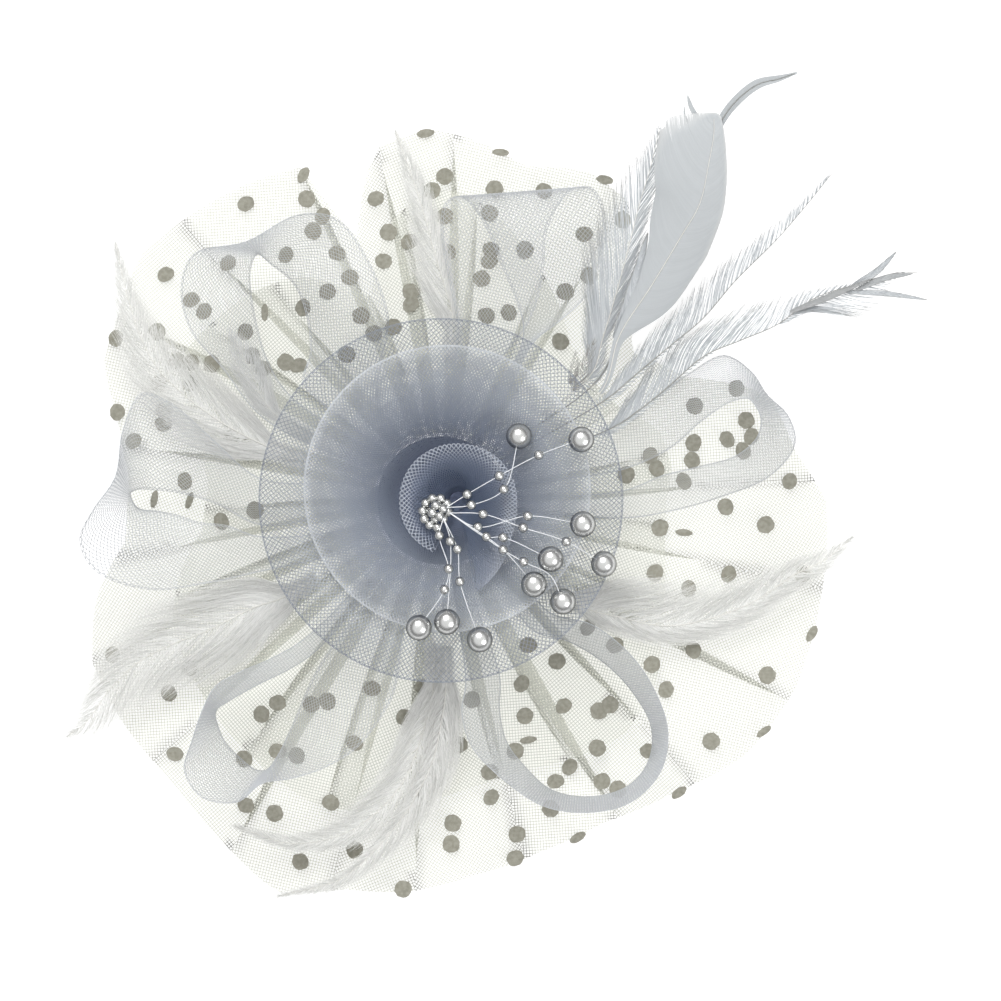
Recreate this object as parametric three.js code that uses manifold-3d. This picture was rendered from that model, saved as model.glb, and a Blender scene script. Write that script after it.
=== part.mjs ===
// A fascinator lying face up on its hair clip: a flower of layered crin with sprays of pearls,
// six looped bands of crin braid, feathers and a dotted tulle veil, all fixed to a felt disc.
// Millimetres, +Z up. Z is the flower's centre line and Z = 0 the underside of the clip.
// Cloth, tulle and feathers are plain walls here, with the outline and the folds of the real ones.

import * as THREE from 'three';
import { mergeVertices } from 'three/addons/utils/BufferGeometryUtils.js';
import Module from 'manifold-3d';

const wasm = await Module();
wasm.setup();

// Clearance between pieces that touch, and the wall of every sheet
const gap = 0.3;
const wall = 1;

// Clip and felt disc
const clipLength = 46;
const clipWidth = 10;
const clipHeight = 6;
const discRadius = 20;
const discThickness = 2;

// Tulle veil: a full lower ruffle and a shorter upper one
const veilReach = 125;
const veilHubRadius = discRadius + 1;
const veilRest = 0.4;
const veilFold = 3.6;

// Roots of the braid loops and of the feathers, between the veil and the flower
const rootRadius = 17;
const rootWidth = 4.4;
const quillRootRadius = 21;
const quillWidth = 1;
const plumeRise = 36;
const lyingRise = 0.02;
const braidWidth = 38;
const braidRise = 36;

// Flower: an outer dish, an inner dish set off centre, and a rolled heart
const outerRadius = 56;
const outerFlatRadius = 18;
const outerDepth = 17.3;
const outerBend = 0.8;
const outerRuffle = 0.8;
const outerWaves = 5;
const innerRadius = 44;
const innerFlatRadius = 8;
const innerDepth = 18;
const innerBend = 0.9;
const innerEast = 1.9;
const innerNorth = 3.7;
const heartRadius = 17.4;
const heartFootRadius = 3;
const heartHeight = 18;
const heartEast = 5.3;
const heartFlare = 1.5;
const heartSwell = 0.85;

// Pearls and seed beads
const pearlDiameter = 8;
const seedDiameter = 3;
const threadDiameter = 0.6;
const clusterBeads = 13;
const clusterPitch = 2.5;
const clusterEast = -1;
const clusterNorth = -3.2;
const clusterStart = 1.5;

// How finely the round forms are cut
const clipArcSteps = 6;
const roundSides = 36;
const veilRings = [0, 0.3, 0.55, 0.8, 1];
const dishRings = [0, 0.2, 0.45, 0.72, 1];
const heartLevels = [0, 0.2, 0.45, 0.72, 1];
const pearlSides = 10;
const pearlBands = 5;
const seedSides = 6;
const seedBands = 3;
const clusterBands = 4;
const threadSides = 5;

// Heights of the stack, each piece a gap above the one below
const discZ = clipHeight + gap;
const lowerVeilZ = discZ + discThickness + gap;
const upperVeilZ = lowerVeilZ + wall + gap;
const rootZ = upperVeilZ + wall + gap;
const outerZ = rootZ + wall + gap;
const innerZ = outerZ + wall + gap;
const heartZ = innerZ + wall + gap;
const sprayZ = Math.max(outerZ + outerDepth, innerZ + innerDepth, heartZ + heartHeight) + wall;

// One row for each fold of the veil: bearing in degrees, rim distance of the lower ruffle as a share
// of veilReach, height of its fold as a share of veilFold, then the same for the upper ruffle
const veilFolds = [
  { bearing: 0, lower: 0.96, lowerFold: 0.0, upper: 0.56, upperFold: 0.3 },
  { bearing: 8, lower: 0.89, lowerFold: 0.7, upper: 0.58, upperFold: 0.0 },
  { bearing: 18, lower: 0.86, lowerFold: 0.1, upper: 0.57, upperFold: 0.4 },
  { bearing: 27, lower: 0.68, lowerFold: 0.5, upper: 0.5, upperFold: 0.1 },
  { bearing: 38, lower: 0.6, lowerFold: 0.2, upper: 0.48, upperFold: 0.3 },
  { bearing: 50, lower: 0.72, lowerFold: 0.8, upper: 0.5, upperFold: 0.0 },
  { bearing: 58, lower: 0.88, lowerFold: 0.1, upper: 0.56, upperFold: 0.5 },
  { bearing: 66, lower: 0.9, lowerFold: 0.9, upper: 0.62, upperFold: 0.1 },
  { bearing: 76, lower: 0.86, lowerFold: 0.0, upper: 0.7, upperFold: 0.6 },
  { bearing: 84, lower: 0.9, lowerFold: 1.0, upper: 0.76, upperFold: 0.0 },
  { bearing: 92, lower: 0.93, lowerFold: 0.1, upper: 0.78, upperFold: 0.6 },
  { bearing: 101, lower: 0.89, lowerFold: 0.8, upper: 0.7, upperFold: 0.1 },
  { bearing: 109, lower: 0.66, lowerFold: 0.2, upper: 0.54, upperFold: 0.4 },
  { bearing: 112, lower: 0.9, lowerFold: 0.6, upper: 0.56, upperFold: 0.1 },
  { bearing: 122, lower: 0.93, lowerFold: 0.0, upper: 0.66, upperFold: 0.6 },
  { bearing: 132, lower: 0.95, lowerFold: 0.7, upper: 0.7, upperFold: 0.0 },
  { bearing: 141, lower: 0.97, lowerFold: 0.1, upper: 0.72, upperFold: 0.6 },
  { bearing: 150, lower: 0.93, lowerFold: 0.9, upper: 0.74, upperFold: 0.1 },
  { bearing: 158, lower: 0.91, lowerFold: 0.0, upper: 0.7, upperFold: 0.5 },
  { bearing: 166, lower: 0.83, lowerFold: 0.7, upper: 0.62, upperFold: 0.0 },
  { bearing: 176, lower: 0.78, lowerFold: 0.1, upper: 0.58, upperFold: 0.5 },
  { bearing: 187, lower: 0.79, lowerFold: 0.8, upper: 0.6, upperFold: 0.1 },
  { bearing: 196, lower: 0.9, lowerFold: 0.0, upper: 0.68, upperFold: 0.6 },
  { bearing: 205, lower: 0.96, lowerFold: 0.8, upper: 0.74, upperFold: 0.0 },
  { bearing: 215, lower: 0.97, lowerFold: 0.1, upper: 0.76, upperFold: 0.6 },
  { bearing: 226, lower: 0.97, lowerFold: 1.0, upper: 0.78, upperFold: 0.1 },
  { bearing: 237, lower: 1.01, lowerFold: 0.0, upper: 0.8, upperFold: 0.6 },
  { bearing: 247, lower: 1.06, lowerFold: 0.7, upper: 0.82, upperFold: 0.0 },
  { bearing: 256, lower: 1.0, lowerFold: 0.1, upper: 0.8, upperFold: 0.5 },
  { bearing: 265, lower: 0.98, lowerFold: 1.0, upper: 0.76, upperFold: 0.1 },
  { bearing: 275, lower: 0.94, lowerFold: 0.0, upper: 0.72, upperFold: 0.6 },
  { bearing: 286, lower: 0.91, lowerFold: 0.8, upper: 0.7, upperFold: 0.0 },
  { bearing: 297, lower: 0.9, lowerFold: 0.1, upper: 0.72, upperFold: 0.6 },
  { bearing: 308, lower: 0.93, lowerFold: 1.0, upper: 0.74, upperFold: 0.1 },
  { bearing: 320, lower: 0.99, lowerFold: 0.0, upper: 0.7, upperFold: 0.5 },
  { bearing: 332, lower: 1.0, lowerFold: 0.9, upper: 0.62, upperFold: 0.0 },
  { bearing: 344, lower: 0.98, lowerFold: 0.1, upper: 0.58, upperFold: 0.5 },
  { bearing: 352, lower: 0.97, lowerFold: 0.8, upper: 0.56, upperFold: 0.1 },
];

// Loops of braid. A row is one place along the band: where its lower edge stands (east and north as
// shares of the loop's reach, up as a share of braidRise above the roots), then the way across
// to its free edge (as shares of braidWidth). The band starts and ends at the two root bearings.
// lowEdgeInside tells whether the lower edge is the one that faces the other root.
const loops = [
  {
    name: 'loop_top_left', reach: 102, rootOut: 149, rootBack: 128, lowEdgeInside: true,
    rows: [
      [-0.46, 0.32, 0.06, -0.20, -0.20, 0.08],
      [-0.53, 0.43, 0.05, -0.37, -0.06, 0.30],
      [-0.56, 0.53, 0.04, -0.53, -0.04, 0.50],
      [-0.58, 0.64, 0.02, -0.55, 0.00, 0.67],
      [-0.58, 0.71, 0.01, -0.44, 0.09, 0.82],
      [-0.56, 0.75, 0.01, -0.07, 0.08, 0.93],
      [-0.52, 0.72, 0.01, 0.24, 0.38, 0.83],
      [-0.45, 0.66, 0.01, 0.37, 0.51, 0.68],
      [-0.41, 0.56, 0.01, 0.52, 0.43, 0.55],
      [-0.40, 0.45, 0.01, 0.64, 0.33, 0.38],
      [-0.42, 0.36, 0.02, 0.69, 0.40, 0.20],
      [-0.28, 0.23, 0.02, 0.24, 0.21, 0.09],
    ],
  },
  {
    name: 'loop_left', reach: 111, rootOut: 178, rootBack: 198, lowEdgeInside: true,
    rows: [
      [-0.27, -0.03, 0.01, 0.00, 0.23, 0.03],
      [-0.50, -0.07, 0.02, 0.00, 0.38, 0.12],
      [-0.63, -0.01, 0.02, -0.04, 0.55, 0.36],
      [-0.73, 0.02, 0.02, -0.07, 0.74, 0.54],
      [-0.81, 0.03, 0.02, -0.06, 0.78, 0.66],
      [-0.85, 0.03, 0.02, -0.09, 0.47, 0.88],
      [-0.87, 0.02, 0.02, -0.09, 0.13, 0.93],
      [-0.85, -0.02, 0.01, -0.33, -0.02, 0.89],
      [-0.79, -0.03, 0.01, -0.62, -0.24, 0.68],
      [-0.74, -0.04, 0.00, -0.64, -0.46, 0.53],
      [-0.68, -0.06, 0.00, -0.38, -0.55, 0.39],
      [-0.60, -0.07, 0.00, -0.16, -0.47, 0.26],
      [-0.51, -0.10, 0.00, 0.00, -0.29, 0.13],
      [-0.27, -0.08, 0.00, 0.00, -0.18, 0.04],
    ],
  },
  {
    name: 'loop_bottom_left', reach: 113, rootOut: 224, rootBack: 246, lowEdgeInside: true,
    rows: [
      [-0.20, -0.25, 0.00, -0.07, 0.07, 0.14],
      [-0.34, -0.41, 0.01, -0.08, 0.11, 0.36],
      [-0.41, -0.46, 0.01, -0.15, 0.09, 0.58],
      [-0.51, -0.51, 0.01, -0.13, 0.12, 0.79],
      [-0.58, -0.55, 0.01, -0.10, 0.13, 0.89],
      [-0.62, -0.58, 0.01, -0.07, 0.06, 0.95],
      [-0.61, -0.63, 0.01, -0.20, -0.08, 0.92],
      [-0.59, -0.67, 0.01, -0.32, -0.19, 0.87],
      [-0.55, -0.71, 0.01, -0.30, -0.29, 0.82],
      [-0.51, -0.74, 0.01, -0.13, -0.24, 0.84],
      [-0.48, -0.74, 0.01, -0.02, -0.09, 0.89],
      [-0.45, -0.70, 0.01, 0.12, -0.17, 0.84],
      [-0.42, -0.64, 0.01, 0.29, -0.27, 0.71],
      [-0.39, -0.57, 0.01, 0.47, -0.32, 0.53],
      [-0.36, -0.50, 0.01, 0.60, -0.25, 0.37],
      [-0.32, -0.43, 0.01, 0.58, -0.24, 0.21],
      [-0.19, -0.26, 0.01, 0.28, -0.11, 0.08],
    ],
  },
  {
    name: 'loop_bottom_right', reach: 107, rootOut: 309, rootBack: 286, lowEdgeInside: true,
    rows: [
      [0.19, -0.28, 0.00, 0.14, 0.10, 0.16],
      [0.27, -0.38, 0.01, 0.14, 0.15, 0.34],
      [0.37, -0.41, 0.01, 0.18, 0.15, 0.55],
      [0.47, -0.47, 0.01, 0.20, 0.09, 0.76],
      [0.55, -0.55, 0.01, 0.17, 0.04, 0.89],
      [0.61, -0.66, 0.01, 0.12, 0.00, 0.96],
      [0.60, -0.76, 0.01, 0.09, -0.05, 0.96],
      [0.54, -0.83, 0.01, 0.02, -0.10, 0.96],
      [0.43, -0.86, 0.01, 0.00, -0.10, 0.96],
      [0.32, -0.84, 0.01, -0.06, -0.11, 0.93],
      [0.25, -0.78, 0.01, -0.19, -0.07, 0.87],
      [0.19, -0.70, 0.01, -0.28, -0.03, 0.74],
      [0.17, -0.61, 0.01, -0.31, -0.01, 0.55],
      [0.17, -0.51, 0.01, -0.28, -0.03, 0.32],
      [0.11, -0.33, 0.00, -0.18, 0.01, 0.12],
    ],
  },
  {
    name: 'loop_right', reach: 110, rootOut: 18, rootBack: 358, lowEdgeInside: false,
    rows: [
      [0.30, 0.14, 0.00, 0.07, -0.24, 0.08],
      [0.48, 0.20, 0.01, 0.08, -0.33, 0.21],
      [0.59, 0.28, 0.02, 0.15, -0.39, 0.38],
      [0.70, 0.36, 0.04, 0.10, -0.39, 0.61],
      [0.80, 0.41, 0.04, 0.03, -0.39, 0.79],
      [0.88, 0.36, 0.02, -0.06, -0.22, 0.92],
      [0.92, 0.30, 0.01, -0.13, -0.09, 0.96],
      [0.98, 0.24, 0.01, -0.25, -0.02, 0.93],
      [1.00, 0.16, 0.01, -0.33, 0.06, 0.83],
      [0.93, 0.07, 0.01, -0.30, 0.16, 0.63],
      [0.79, 0.01, 0.01, -0.18, 0.25, 0.42],
      [0.65, -0.03, 0.01, -0.08, 0.29, 0.24],
      [0.52, -0.05, 0.01, 0.00, 0.23, 0.13],
      [0.33, -0.04, 0.01, 0.00, 0.15, 0.05],
    ],
  },
  {
    name: 'loop_top', reach: 98, rootOut: 79, rootBack: 60, lowEdgeInside: false,
    rows: [
      [0.03, 0.34, 0.08, 0.24, 0.05, 0.03],
      [0.05, 0.56, 0.26, 0.60, 0.04, 0.00],
      [0.02, 0.72, 0.43, 0.78, 0.02, 0.00],
      [0.00, 0.85, 0.56, 0.86, 0.00, 0.03],
      [0.01, 0.93, 0.62, 0.95, 0.03, 0.08],
      [0.05, 0.96, 0.45, 0.96, 0.06, 0.13],
      [0.09, 0.94, 0.20, 1.01, 0.11, 0.21],
      [0.14, 0.87, 0.06, 0.97, 0.11, 0.24],
      [0.19, 0.75, 0.02, 0.83, 0.12, 0.22],
      [0.24, 0.63, 0.01, 0.55, 0.03, 0.28],
      [0.26, 0.55, 0.01, 0.28, 0.03, 0.32],
      [0.25, 0.48, 0.01, 0.11, 0.05, 0.25],
      [0.16, 0.33, 0.01, 0.09, -0.04, 0.13],
    ],
  },
];

// Feathers. A row is one place along the quill: east and north as shares of the feather's reach, up as
// a share of plumeRise above the roots, then the vane to its left and right as shares of vane.
const feathers = [
  {
    name: 'feather_fan', reach: 125, vane: 15, root: 48,
    rows: [
      [0.37, 0.31, 0.20, 0.04, 0.04],
      [0.40, 0.40, 0.27, 0.45, 0.12],
      [0.43, 0.50, 0.38, 0.66, 0.25],
      [0.46, 0.61, 0.46, 0.91, 0.29],
      [0.49, 0.73, 0.50, 0.74, 0.29],
      [0.52, 0.83, 0.54, 0.41, 0.25],
      [0.54, 0.92, 0.58, 0.04, 0.04],
    ],
  },
  {
    name: 'feather_curl', reach: 160, vane: 16, root: 43.4,
    rows: [
      [0.30, 0.23, 0.23, 0.04, 0.04],
      [0.36, 0.35, 0.31, 0.04, 0.04],
      [0.44, 0.51, 0.45, 0.04, 0.04],
      [0.51, 0.65, 0.62, 0.08, 0.08],
      [0.54, 0.73, 0.73, 0.14, 0.12],
      [0.57, 0.77, 0.81, 0.15, 0.15],
      [0.61, 0.80, 0.87, 0.17, 0.14],
      [0.65, 0.81, 0.92, 0.12, 0.08],
      [0.68, 0.82, 0.95, 0.03, 0.03],
    ],
  },
  {
    name: 'feather_blade', reach: 145, vane: 16, root: 38.8,
    rows: [
      [0.34, 0.23, 0.27, 0.04, 0.04],
      [0.38, 0.35, 0.40, 0.19, 0.19],
      [0.45, 0.46, 0.54, 0.35, 0.31],
      [0.51, 0.56, 0.65, 0.74, 0.25],
      [0.55, 0.63, 0.73, 0.97, 0.23],
      [0.57, 0.72, 0.79, 1.05, 0.23],
      [0.58, 0.78, 0.81, 0.89, 0.17],
      [0.58, 0.81, 0.81, 0.66, 0.10],
    ],
  },
  {
    name: 'feather_long_high', reach: 165, vane: 16, root: 34.2,
    rows: [
      [0.31, 0.19, 0.30, 0.04, 0.04],
      [0.37, 0.24, 0.34, 0.27, 0.12],
      [0.43, 0.29, 0.40, 0.66, 0.15],
      [0.49, 0.34, 0.45, 0.93, 0.15],
      [0.55, 0.41, 0.54, 0.97, 0.15],
      [0.63, 0.49, 0.62, 0.85, 0.15],
      [0.69, 0.56, 0.68, 0.58, 0.14],
      [0.73, 0.61, 0.73, 0.06, 0.06],
    ],
  },
  {
    name: 'feather_long_low', reach: 160, vane: 16, root: 29.6,
    rows: [
      [0.33, 0.14, 0.20, 0.04, 0.04],
      [0.39, 0.18, 0.24, 0.43, 0.06],
      [0.44, 0.22, 0.27, 0.78, 0.08],
      [0.51, 0.28, 0.31, 0.89, 0.08],
      [0.58, 0.31, 0.36, 0.81, 0.08],
      [0.65, 0.34, 0.40, 0.70, 0.08],
      [0.72, 0.39, 0.44, 0.62, 0.27],
      [0.81, 0.42, 0.48, 0.46, 0.58],
      [0.88, 0.44, 0.51, 0.39, 0.39],
      [0.92, 0.44, 0.52, 0.06, 0.06],
    ],
  },
  {
    name: 'feather_top', reach: 118, vane: 14, root: 93,
    rows: [
      [0.03, 0.48, -0.02, 0.04, 0.04],
      [0.01, 0.56, -0.02, 0.53, 0.18],
      [-0.02, 0.66, -0.02, 0.53, 0.31],
      [-0.05, 0.77, -0.02, 0.35, 0.31],
      [-0.09, 0.89, -0.02, 0.18, 0.22],
      [-0.12, 0.97, -0.02, 0.04, 0.04],
    ],
  },
  {
    name: 'feather_upper_left', reach: 80, vane: 14, root: 161,
    rows: [
      [-0.64, 0.33, -0.02, 0.04, 0.04],
      [-0.69, 0.39, -0.02, 0.20, 0.20],
      [-0.73, 0.48, -0.02, 0.33, 0.33],
      [-0.78, 0.58, -0.02, 0.35, 0.31],
      [-0.82, 0.66, -0.02, 0.07, 0.07],
    ],
  },
  {
    name: 'feather_left', reach: 135, vane: 14, root: 167,
    rows: [
      [-0.39, 0.12, -0.02, 0.04, 0.04],
      [-0.49, 0.17, -0.02, 0.58, 0.50],
      [-0.55, 0.21, -0.02, 0.80, 0.70],
      [-0.60, 0.25, -0.02, 0.84, 0.75],
      [-0.65, 0.30, -0.02, 0.75, 0.71],
      [-0.69, 0.37, -0.02, 0.62, 0.58],
      [-0.72, 0.46, -0.02, 0.35, 0.31],
      [-0.75, 0.59, -0.02, 0.04, 0.04],
    ],
  },
  {
    name: 'feather_lower_left', reach: 138, vane: 14, root: 212,
    rows: [
      [-0.36, -0.22, -0.02, 0.04, 0.04],
      [-0.42, -0.24, -0.02, 0.62, 0.53],
      [-0.52, -0.29, -0.02, 0.97, 0.93],
      [-0.62, -0.33, -0.02, 1.02, 0.97],
      [-0.69, -0.37, -0.02, 0.93, 0.80],
      [-0.75, -0.43, -0.02, 0.75, 0.58],
      [-0.80, -0.50, -0.02, 0.44, 0.31],
      [-0.84, -0.53, -0.02, 0.04, 0.04],
    ],
  },
  {
    name: 'feather_bottom_left', reach: 130, vane: 14, root: 262,
    rows: [
      [-0.02, -0.45, -0.02, 0.04, 0.04],
      [-0.04, -0.54, -0.02, 0.53, 0.44],
      [-0.09, -0.67, -0.02, 0.62, 0.53],
      [-0.16, -0.75, -0.02, 0.58, 0.49],
      [-0.24, -0.80, -0.02, 0.31, 0.40],
      [-0.36, -0.82, -0.02, 0.18, 0.22],
      [-0.49, -0.78, -0.02, 0.04, 0.04],
    ],
  },
  {
    name: 'feather_bottom', reach: 135, vane: 14, root: 270,
    rows: [
      [0.01, -0.44, 0.02, 0.04, 0.04],
      [0.00, -0.51, 0.02, 0.44, 0.40],
      [-0.02, -0.60, 0.02, 0.53, 0.20],
      [-0.07, -0.70, 0.02, 0.53, 0.16],
      [-0.13, -0.78, 0.02, 0.44, 0.16],
      [-0.23, -0.87, 0.01, 0.22, 0.13],
      [-0.37, -0.91, 0.00, 0.04, 0.04],
    ],
  },
  {
    name: 'feather_right', reach: 130, vane: 14, root: 326,
    rows: [
      [0.33, -0.25, -0.02, 0.04, 0.04],
      [0.43, -0.28, -0.02, 0.89, 0.35],
      [0.54, -0.30, -0.02, 0.97, 0.40],
      [0.65, -0.28, -0.02, 0.80, 0.44],
      [0.75, -0.24, -0.02, 0.58, 0.44],
      [0.84, -0.18, -0.02, 0.40, 0.35],
      [0.92, -0.14, -0.02, 0.27, 0.27],
      [0.98, -0.09, -0.02, 0.04, 0.04],
    ],
  },
];

// The heart's rolled wall: bearing in degrees, rim radius as a share of heartRadius and rim height as a
// share of heartHeight. The roll opens outward at its end and leaves a slit at the south.
const heartRoll = [
  { bearing: 245, out: 0.97, up: 0.94 },
  { bearing: 212, out: 1.0, up: 0.98 },
  { bearing: 178, out: 1.0, up: 1.0 },
  { bearing: 145, out: 1.0, up: 1.0 },
  { bearing: 112, out: 0.98, up: 1.0 },
  { bearing: 80, out: 0.97, up: 1.0 },
  { bearing: 48, out: 0.99, up: 1.0 },
  { bearing: 18, out: 1.0, up: 1.0 },
  { bearing: -10, out: 1.02, up: 0.98 },
  { bearing: -36, out: 1.12, up: 0.95 },
  { bearing: -60, out: 1.38, up: 0.9 },
  { bearing: -79, out: 1.6, up: 0.84 },
];

// Pearls: east and north of the flower's centre as shares of outerRadius
const pearlPlaces = [
  [0.43, 0.355],
  [0.773, 0.336],
  [0.782, -0.13],
  [0.898, -0.35],
  [0.605, -0.323],
  [0.512, -0.462],
  [0.673, -0.557],
  [-0.121, -0.7],
  [0.034, -0.668],
  [0.214, -0.766],
];

// Sprays of thread. Each thread runs from its spray's knot through chosen points to its pearl, and carries
// a seed bead at each point listed in beads. Points are east, north and height above sprayZ.
const sprays = [
  {
    name: 'bead_spray_upper', knot: [1.6, -2.2, 1.5],
    threads: [
      { pearl: 1, beads: [0, 1, 2], points: [[8.1, 1.9, 0.9], [18, 7.6, 2.1], [30.2, 14, 2.7]] },
      { pearl: 0, beads: [0, 1], points: [[9.4, -1.4, 0.5], [19.4, 3.4, 2.1]] },
    ],
  },
  {
    name: 'bead_spray_right', knot: [2.6, -3.8, 1.5],
    threads: [
      { pearl: 3, beads: [0, 1, 2], points: [[13, -4.2, 0.9], [25.4, -8.4, 2.5], [38.7, -12.7, 2.9]] },
      { pearl: 2, beads: [0, 1], points: [[11.4, -8.2, 0.7], [26.8, -4.8, 2.7]] },
      { pearl: 4, beads: [0, 1], points: [[14, -11.2, 1.1], [19.2, -11.4, 1.9]] },
      { pearl: 6, beads: [0, 1], points: [[19.2, -15.2, 1.9], [25.5, -18.9, 2.9], [33.6, -23, 2.9]] },
      { pearl: 5, beads: [], points: [[19.2, -15.2, 1.9]] },
    ],
  },
  {
    name: 'bead_spray_lower', knot: [0.8, -5.4, 1.5],
    threads: [
      { pearl: 7, beads: [0, 1, 2], points: [[-0.5, -10.8, 0.9], [2.4, -21.1, 1.7], [1.1, -27.5, 2.1]] },
      { pearl: 8, beads: [0], points: [[2.9, -12.6, 1.3]] },
      { pearl: 9, beads: [0, 1], points: [[5.1, -15, 1.1], [5.9, -25, 1.5]] },
    ],
  },
];

const toRadians = THREE.MathUtils.degToRad;

function polar(radius, bearing, z) {
  const angle = toRadians(bearing);
  return new THREE.Vector3(radius * Math.cos(angle), radius * Math.sin(angle), z);
}

function geometryOf(positions, triangles) {
  const geometry = new THREE.BufferGeometry();
  geometry.setAttribute('position', new THREE.Float32BufferAttribute(positions, 3));
  geometry.setIndex(triangles);
  return geometry;
}

// Closed solid between two grids of points of the same size, [row][column]. The first faces the way of
// rows crossed with columns. Round rows close on themselves.
function solidBetween(first, second, roundRows) {
  const rows = first.length;
  const columns = first[0].length;
  const positions = [];
  for (const grid of [first, second]) {
    for (const row of grid) {
      for (const p of row) positions.push(p.x, p.y, p.z);
    }
  }
  const top = (i, j) => (i % rows) * columns + j;
  const under = (i, j) => rows * columns + top(i, j);
  const triangles = [];
  const quad = (a, b, c, d) => triangles.push(a, b, c, a, c, d);
  const spans = roundRows ? rows : rows - 1;
  for (let i = 0; i < spans; i += 1) {
    for (let j = 0; j + 1 < columns; j += 1) {
      quad(top(i, j), top(i + 1, j), top(i + 1, j + 1), top(i, j + 1));
      quad(under(i, j), under(i, j + 1), under(i + 1, j + 1), under(i + 1, j));
    }
    quad(top(i, 0), under(i, 0), under(i + 1, 0), top(i + 1, 0));
    const last = columns - 1;
    quad(top(i, last), top(i + 1, last), under(i + 1, last), under(i, last));
  }
  if (!roundRows) {
    for (let j = 0; j + 1 < columns; j += 1) {
      quad(top(0, j), top(0, j + 1), under(0, j + 1), under(0, j));
      const end = rows - 1;
      quad(top(end, j), under(end, j), under(end, j + 1), top(end, j + 1));
    }
  }
  return geometryOf(positions, triangles);
}

// A wall of even thickness about a grid of points, each moved along the surface's own direction
function wallAbout(grid, thickness) {
  const rows = grid.length;
  const columns = grid[0].length;
  const upper = [];
  const lower = [];
  for (let i = 0; i < rows; i += 1) {
    upper.push([]);
    lower.push([]);
    for (let j = 0; j < columns; j += 1) {
      const along = new THREE.Vector3().subVectors(
        grid[Math.min(i + 1, rows - 1)][j], grid[Math.max(i - 1, 0)][j]);
      const across = new THREE.Vector3().subVectors(
        grid[i][Math.min(j + 1, columns - 1)], grid[i][Math.max(j - 1, 0)]);
      const normal = new THREE.Vector3().crossVectors(along, across).normalize();
      upper[i].push(grid[i][j].clone().addScaledVector(normal, thickness / 2));
      lower[i].push(grid[i][j].clone().addScaledVector(normal, -thickness / 2));
    }
  }
  return solidBetween(upper, lower, false);
}

// A round sheet given by its height: spokes of points from a flat middle to the rim, anticlockwise
function roundSheet(spokes, thickness) {
  const columns = spokes[0].length;
  const count = spokes.length;
  const under = spokes;
  const top = spokes.map((spoke) => spoke.map((p) => p.clone().setZ(p.z + thickness)));
  const shell = solidBetween(under, top, true);
  const positions = Array.from(shell.attributes.position.array);
  const corners = Array.from(shell.index.array);
  const triangles = [];
  for (let t = 0; t < corners.length; t += 3) {
    const triangle = corners.slice(t, t + 3);
    const onInnerWall = triangle.every((corner) => corner % columns === 0);
    if (!onInnerWall) triangles.push(...triangle);
  }
  const middle = new THREE.Vector3();
  for (const spoke of spokes) middle.addScaledVector(spoke[0], 1 / count);
  const underMiddle = 2 * count * columns;
  const topMiddle = underMiddle + 1;
  positions.push(middle.x, middle.y, middle.z, middle.x, middle.y, middle.z + thickness);
  for (let i = 0; i < count; i += 1) {
    const here = i * columns;
    const next = ((i + 1) % count) * columns;
    const above = count * columns;
    triangles.push(underMiddle, next, here);
    triangles.push(topMiddle, above + here, above + next);
  }
  return geometryOf(positions, triangles);
}

// Joins closed meshes into one body
function fuse(geometries) {
  const solids = geometries.map((geometry) => {
    const bare = geometry.clone();
    bare.deleteAttribute('normal');
    bare.deleteAttribute('uv');
    const merged = mergeVertices(bare);
    return new wasm.Manifold(new wasm.Mesh({
      numProp: 3,
      vertProperties: new Float32Array(merged.attributes.position.array),
      triVerts: new Uint32Array(merged.index.array),
    }));
  });
  const joined = solids.reduce((sum, solid) => sum.add(solid)).getMesh();
  return geometryOf(Array.from(joined.vertProperties), Array.from(joined.triVerts));
}

function clipGeometry() {
  const half = clipLength / 2 - clipWidth / 2;
  const outline = new THREE.Shape();
  outline.moveTo(-half, -clipWidth / 2);
  outline.lineTo(half, -clipWidth / 2);
  outline.absarc(half, 0, clipWidth / 2, -Math.PI / 2, Math.PI / 2, false);
  outline.lineTo(-half, clipWidth / 2);
  outline.absarc(-half, 0, clipWidth / 2, Math.PI / 2, 3 * Math.PI / 2, false);
  return new THREE.ExtrudeGeometry(
    outline, { depth: clipHeight, bevelEnabled: false, curveSegments: clipArcSteps });
}

function discGeometry() {
  const disc = new THREE.CylinderGeometry(discRadius, discRadius, discThickness, roundSides);
  disc.rotateX(Math.PI / 2);
  disc.translate(0, 0, discZ + discThickness / 2);
  return disc;
}

// Height of the lower ruffle's underside on one fold, at a radius
function lowerVeilHeight(fold, radius) {
  const share = (radius - veilHubRadius) / (fold.lower * veilReach - veilHubRadius);
  const rimZ = veilRest + fold.lowerFold * veilFold;
  return THREE.MathUtils.lerp(lowerVeilZ, rimZ, Math.max(0, share));
}

function upperVeilHeight(fold, radius) {
  const share = (radius - veilHubRadius) / (fold.upper * veilReach - veilHubRadius);
  const lift = fold.upperFold * veilFold * Math.max(0, share);
  return lowerVeilHeight(fold, radius) + wall + gap + lift;
}

function veilGeometry(reachOf, heightOf) {
  const spokes = veilFolds.map((fold) => veilRings.map((ring) => {
    const radius = THREE.MathUtils.lerp(veilHubRadius, reachOf(fold) * veilReach, ring);
    return polar(radius, fold.bearing, heightOf(fold, radius));
  }));
  return roundSheet(spokes, wall);
}

// Root place of a braid's two edges, flat on the veil's hub
function braidRoot(loop, bearing, other) {
  const turn = Math.sign(((other - bearing + 540) % 360) - 180);
  const halfAngle = THREE.MathUtils.radToDeg(rootWidth / 2 / rootRadius);
  const z = rootZ + wall / 2;
  const inside = polar(rootRadius, bearing + turn * halfAngle, z);
  const outside = polar(rootRadius, bearing - turn * halfAngle, z);
  return loop.lowEdgeInside ? [inside, outside] : [outside, inside];
}

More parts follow.
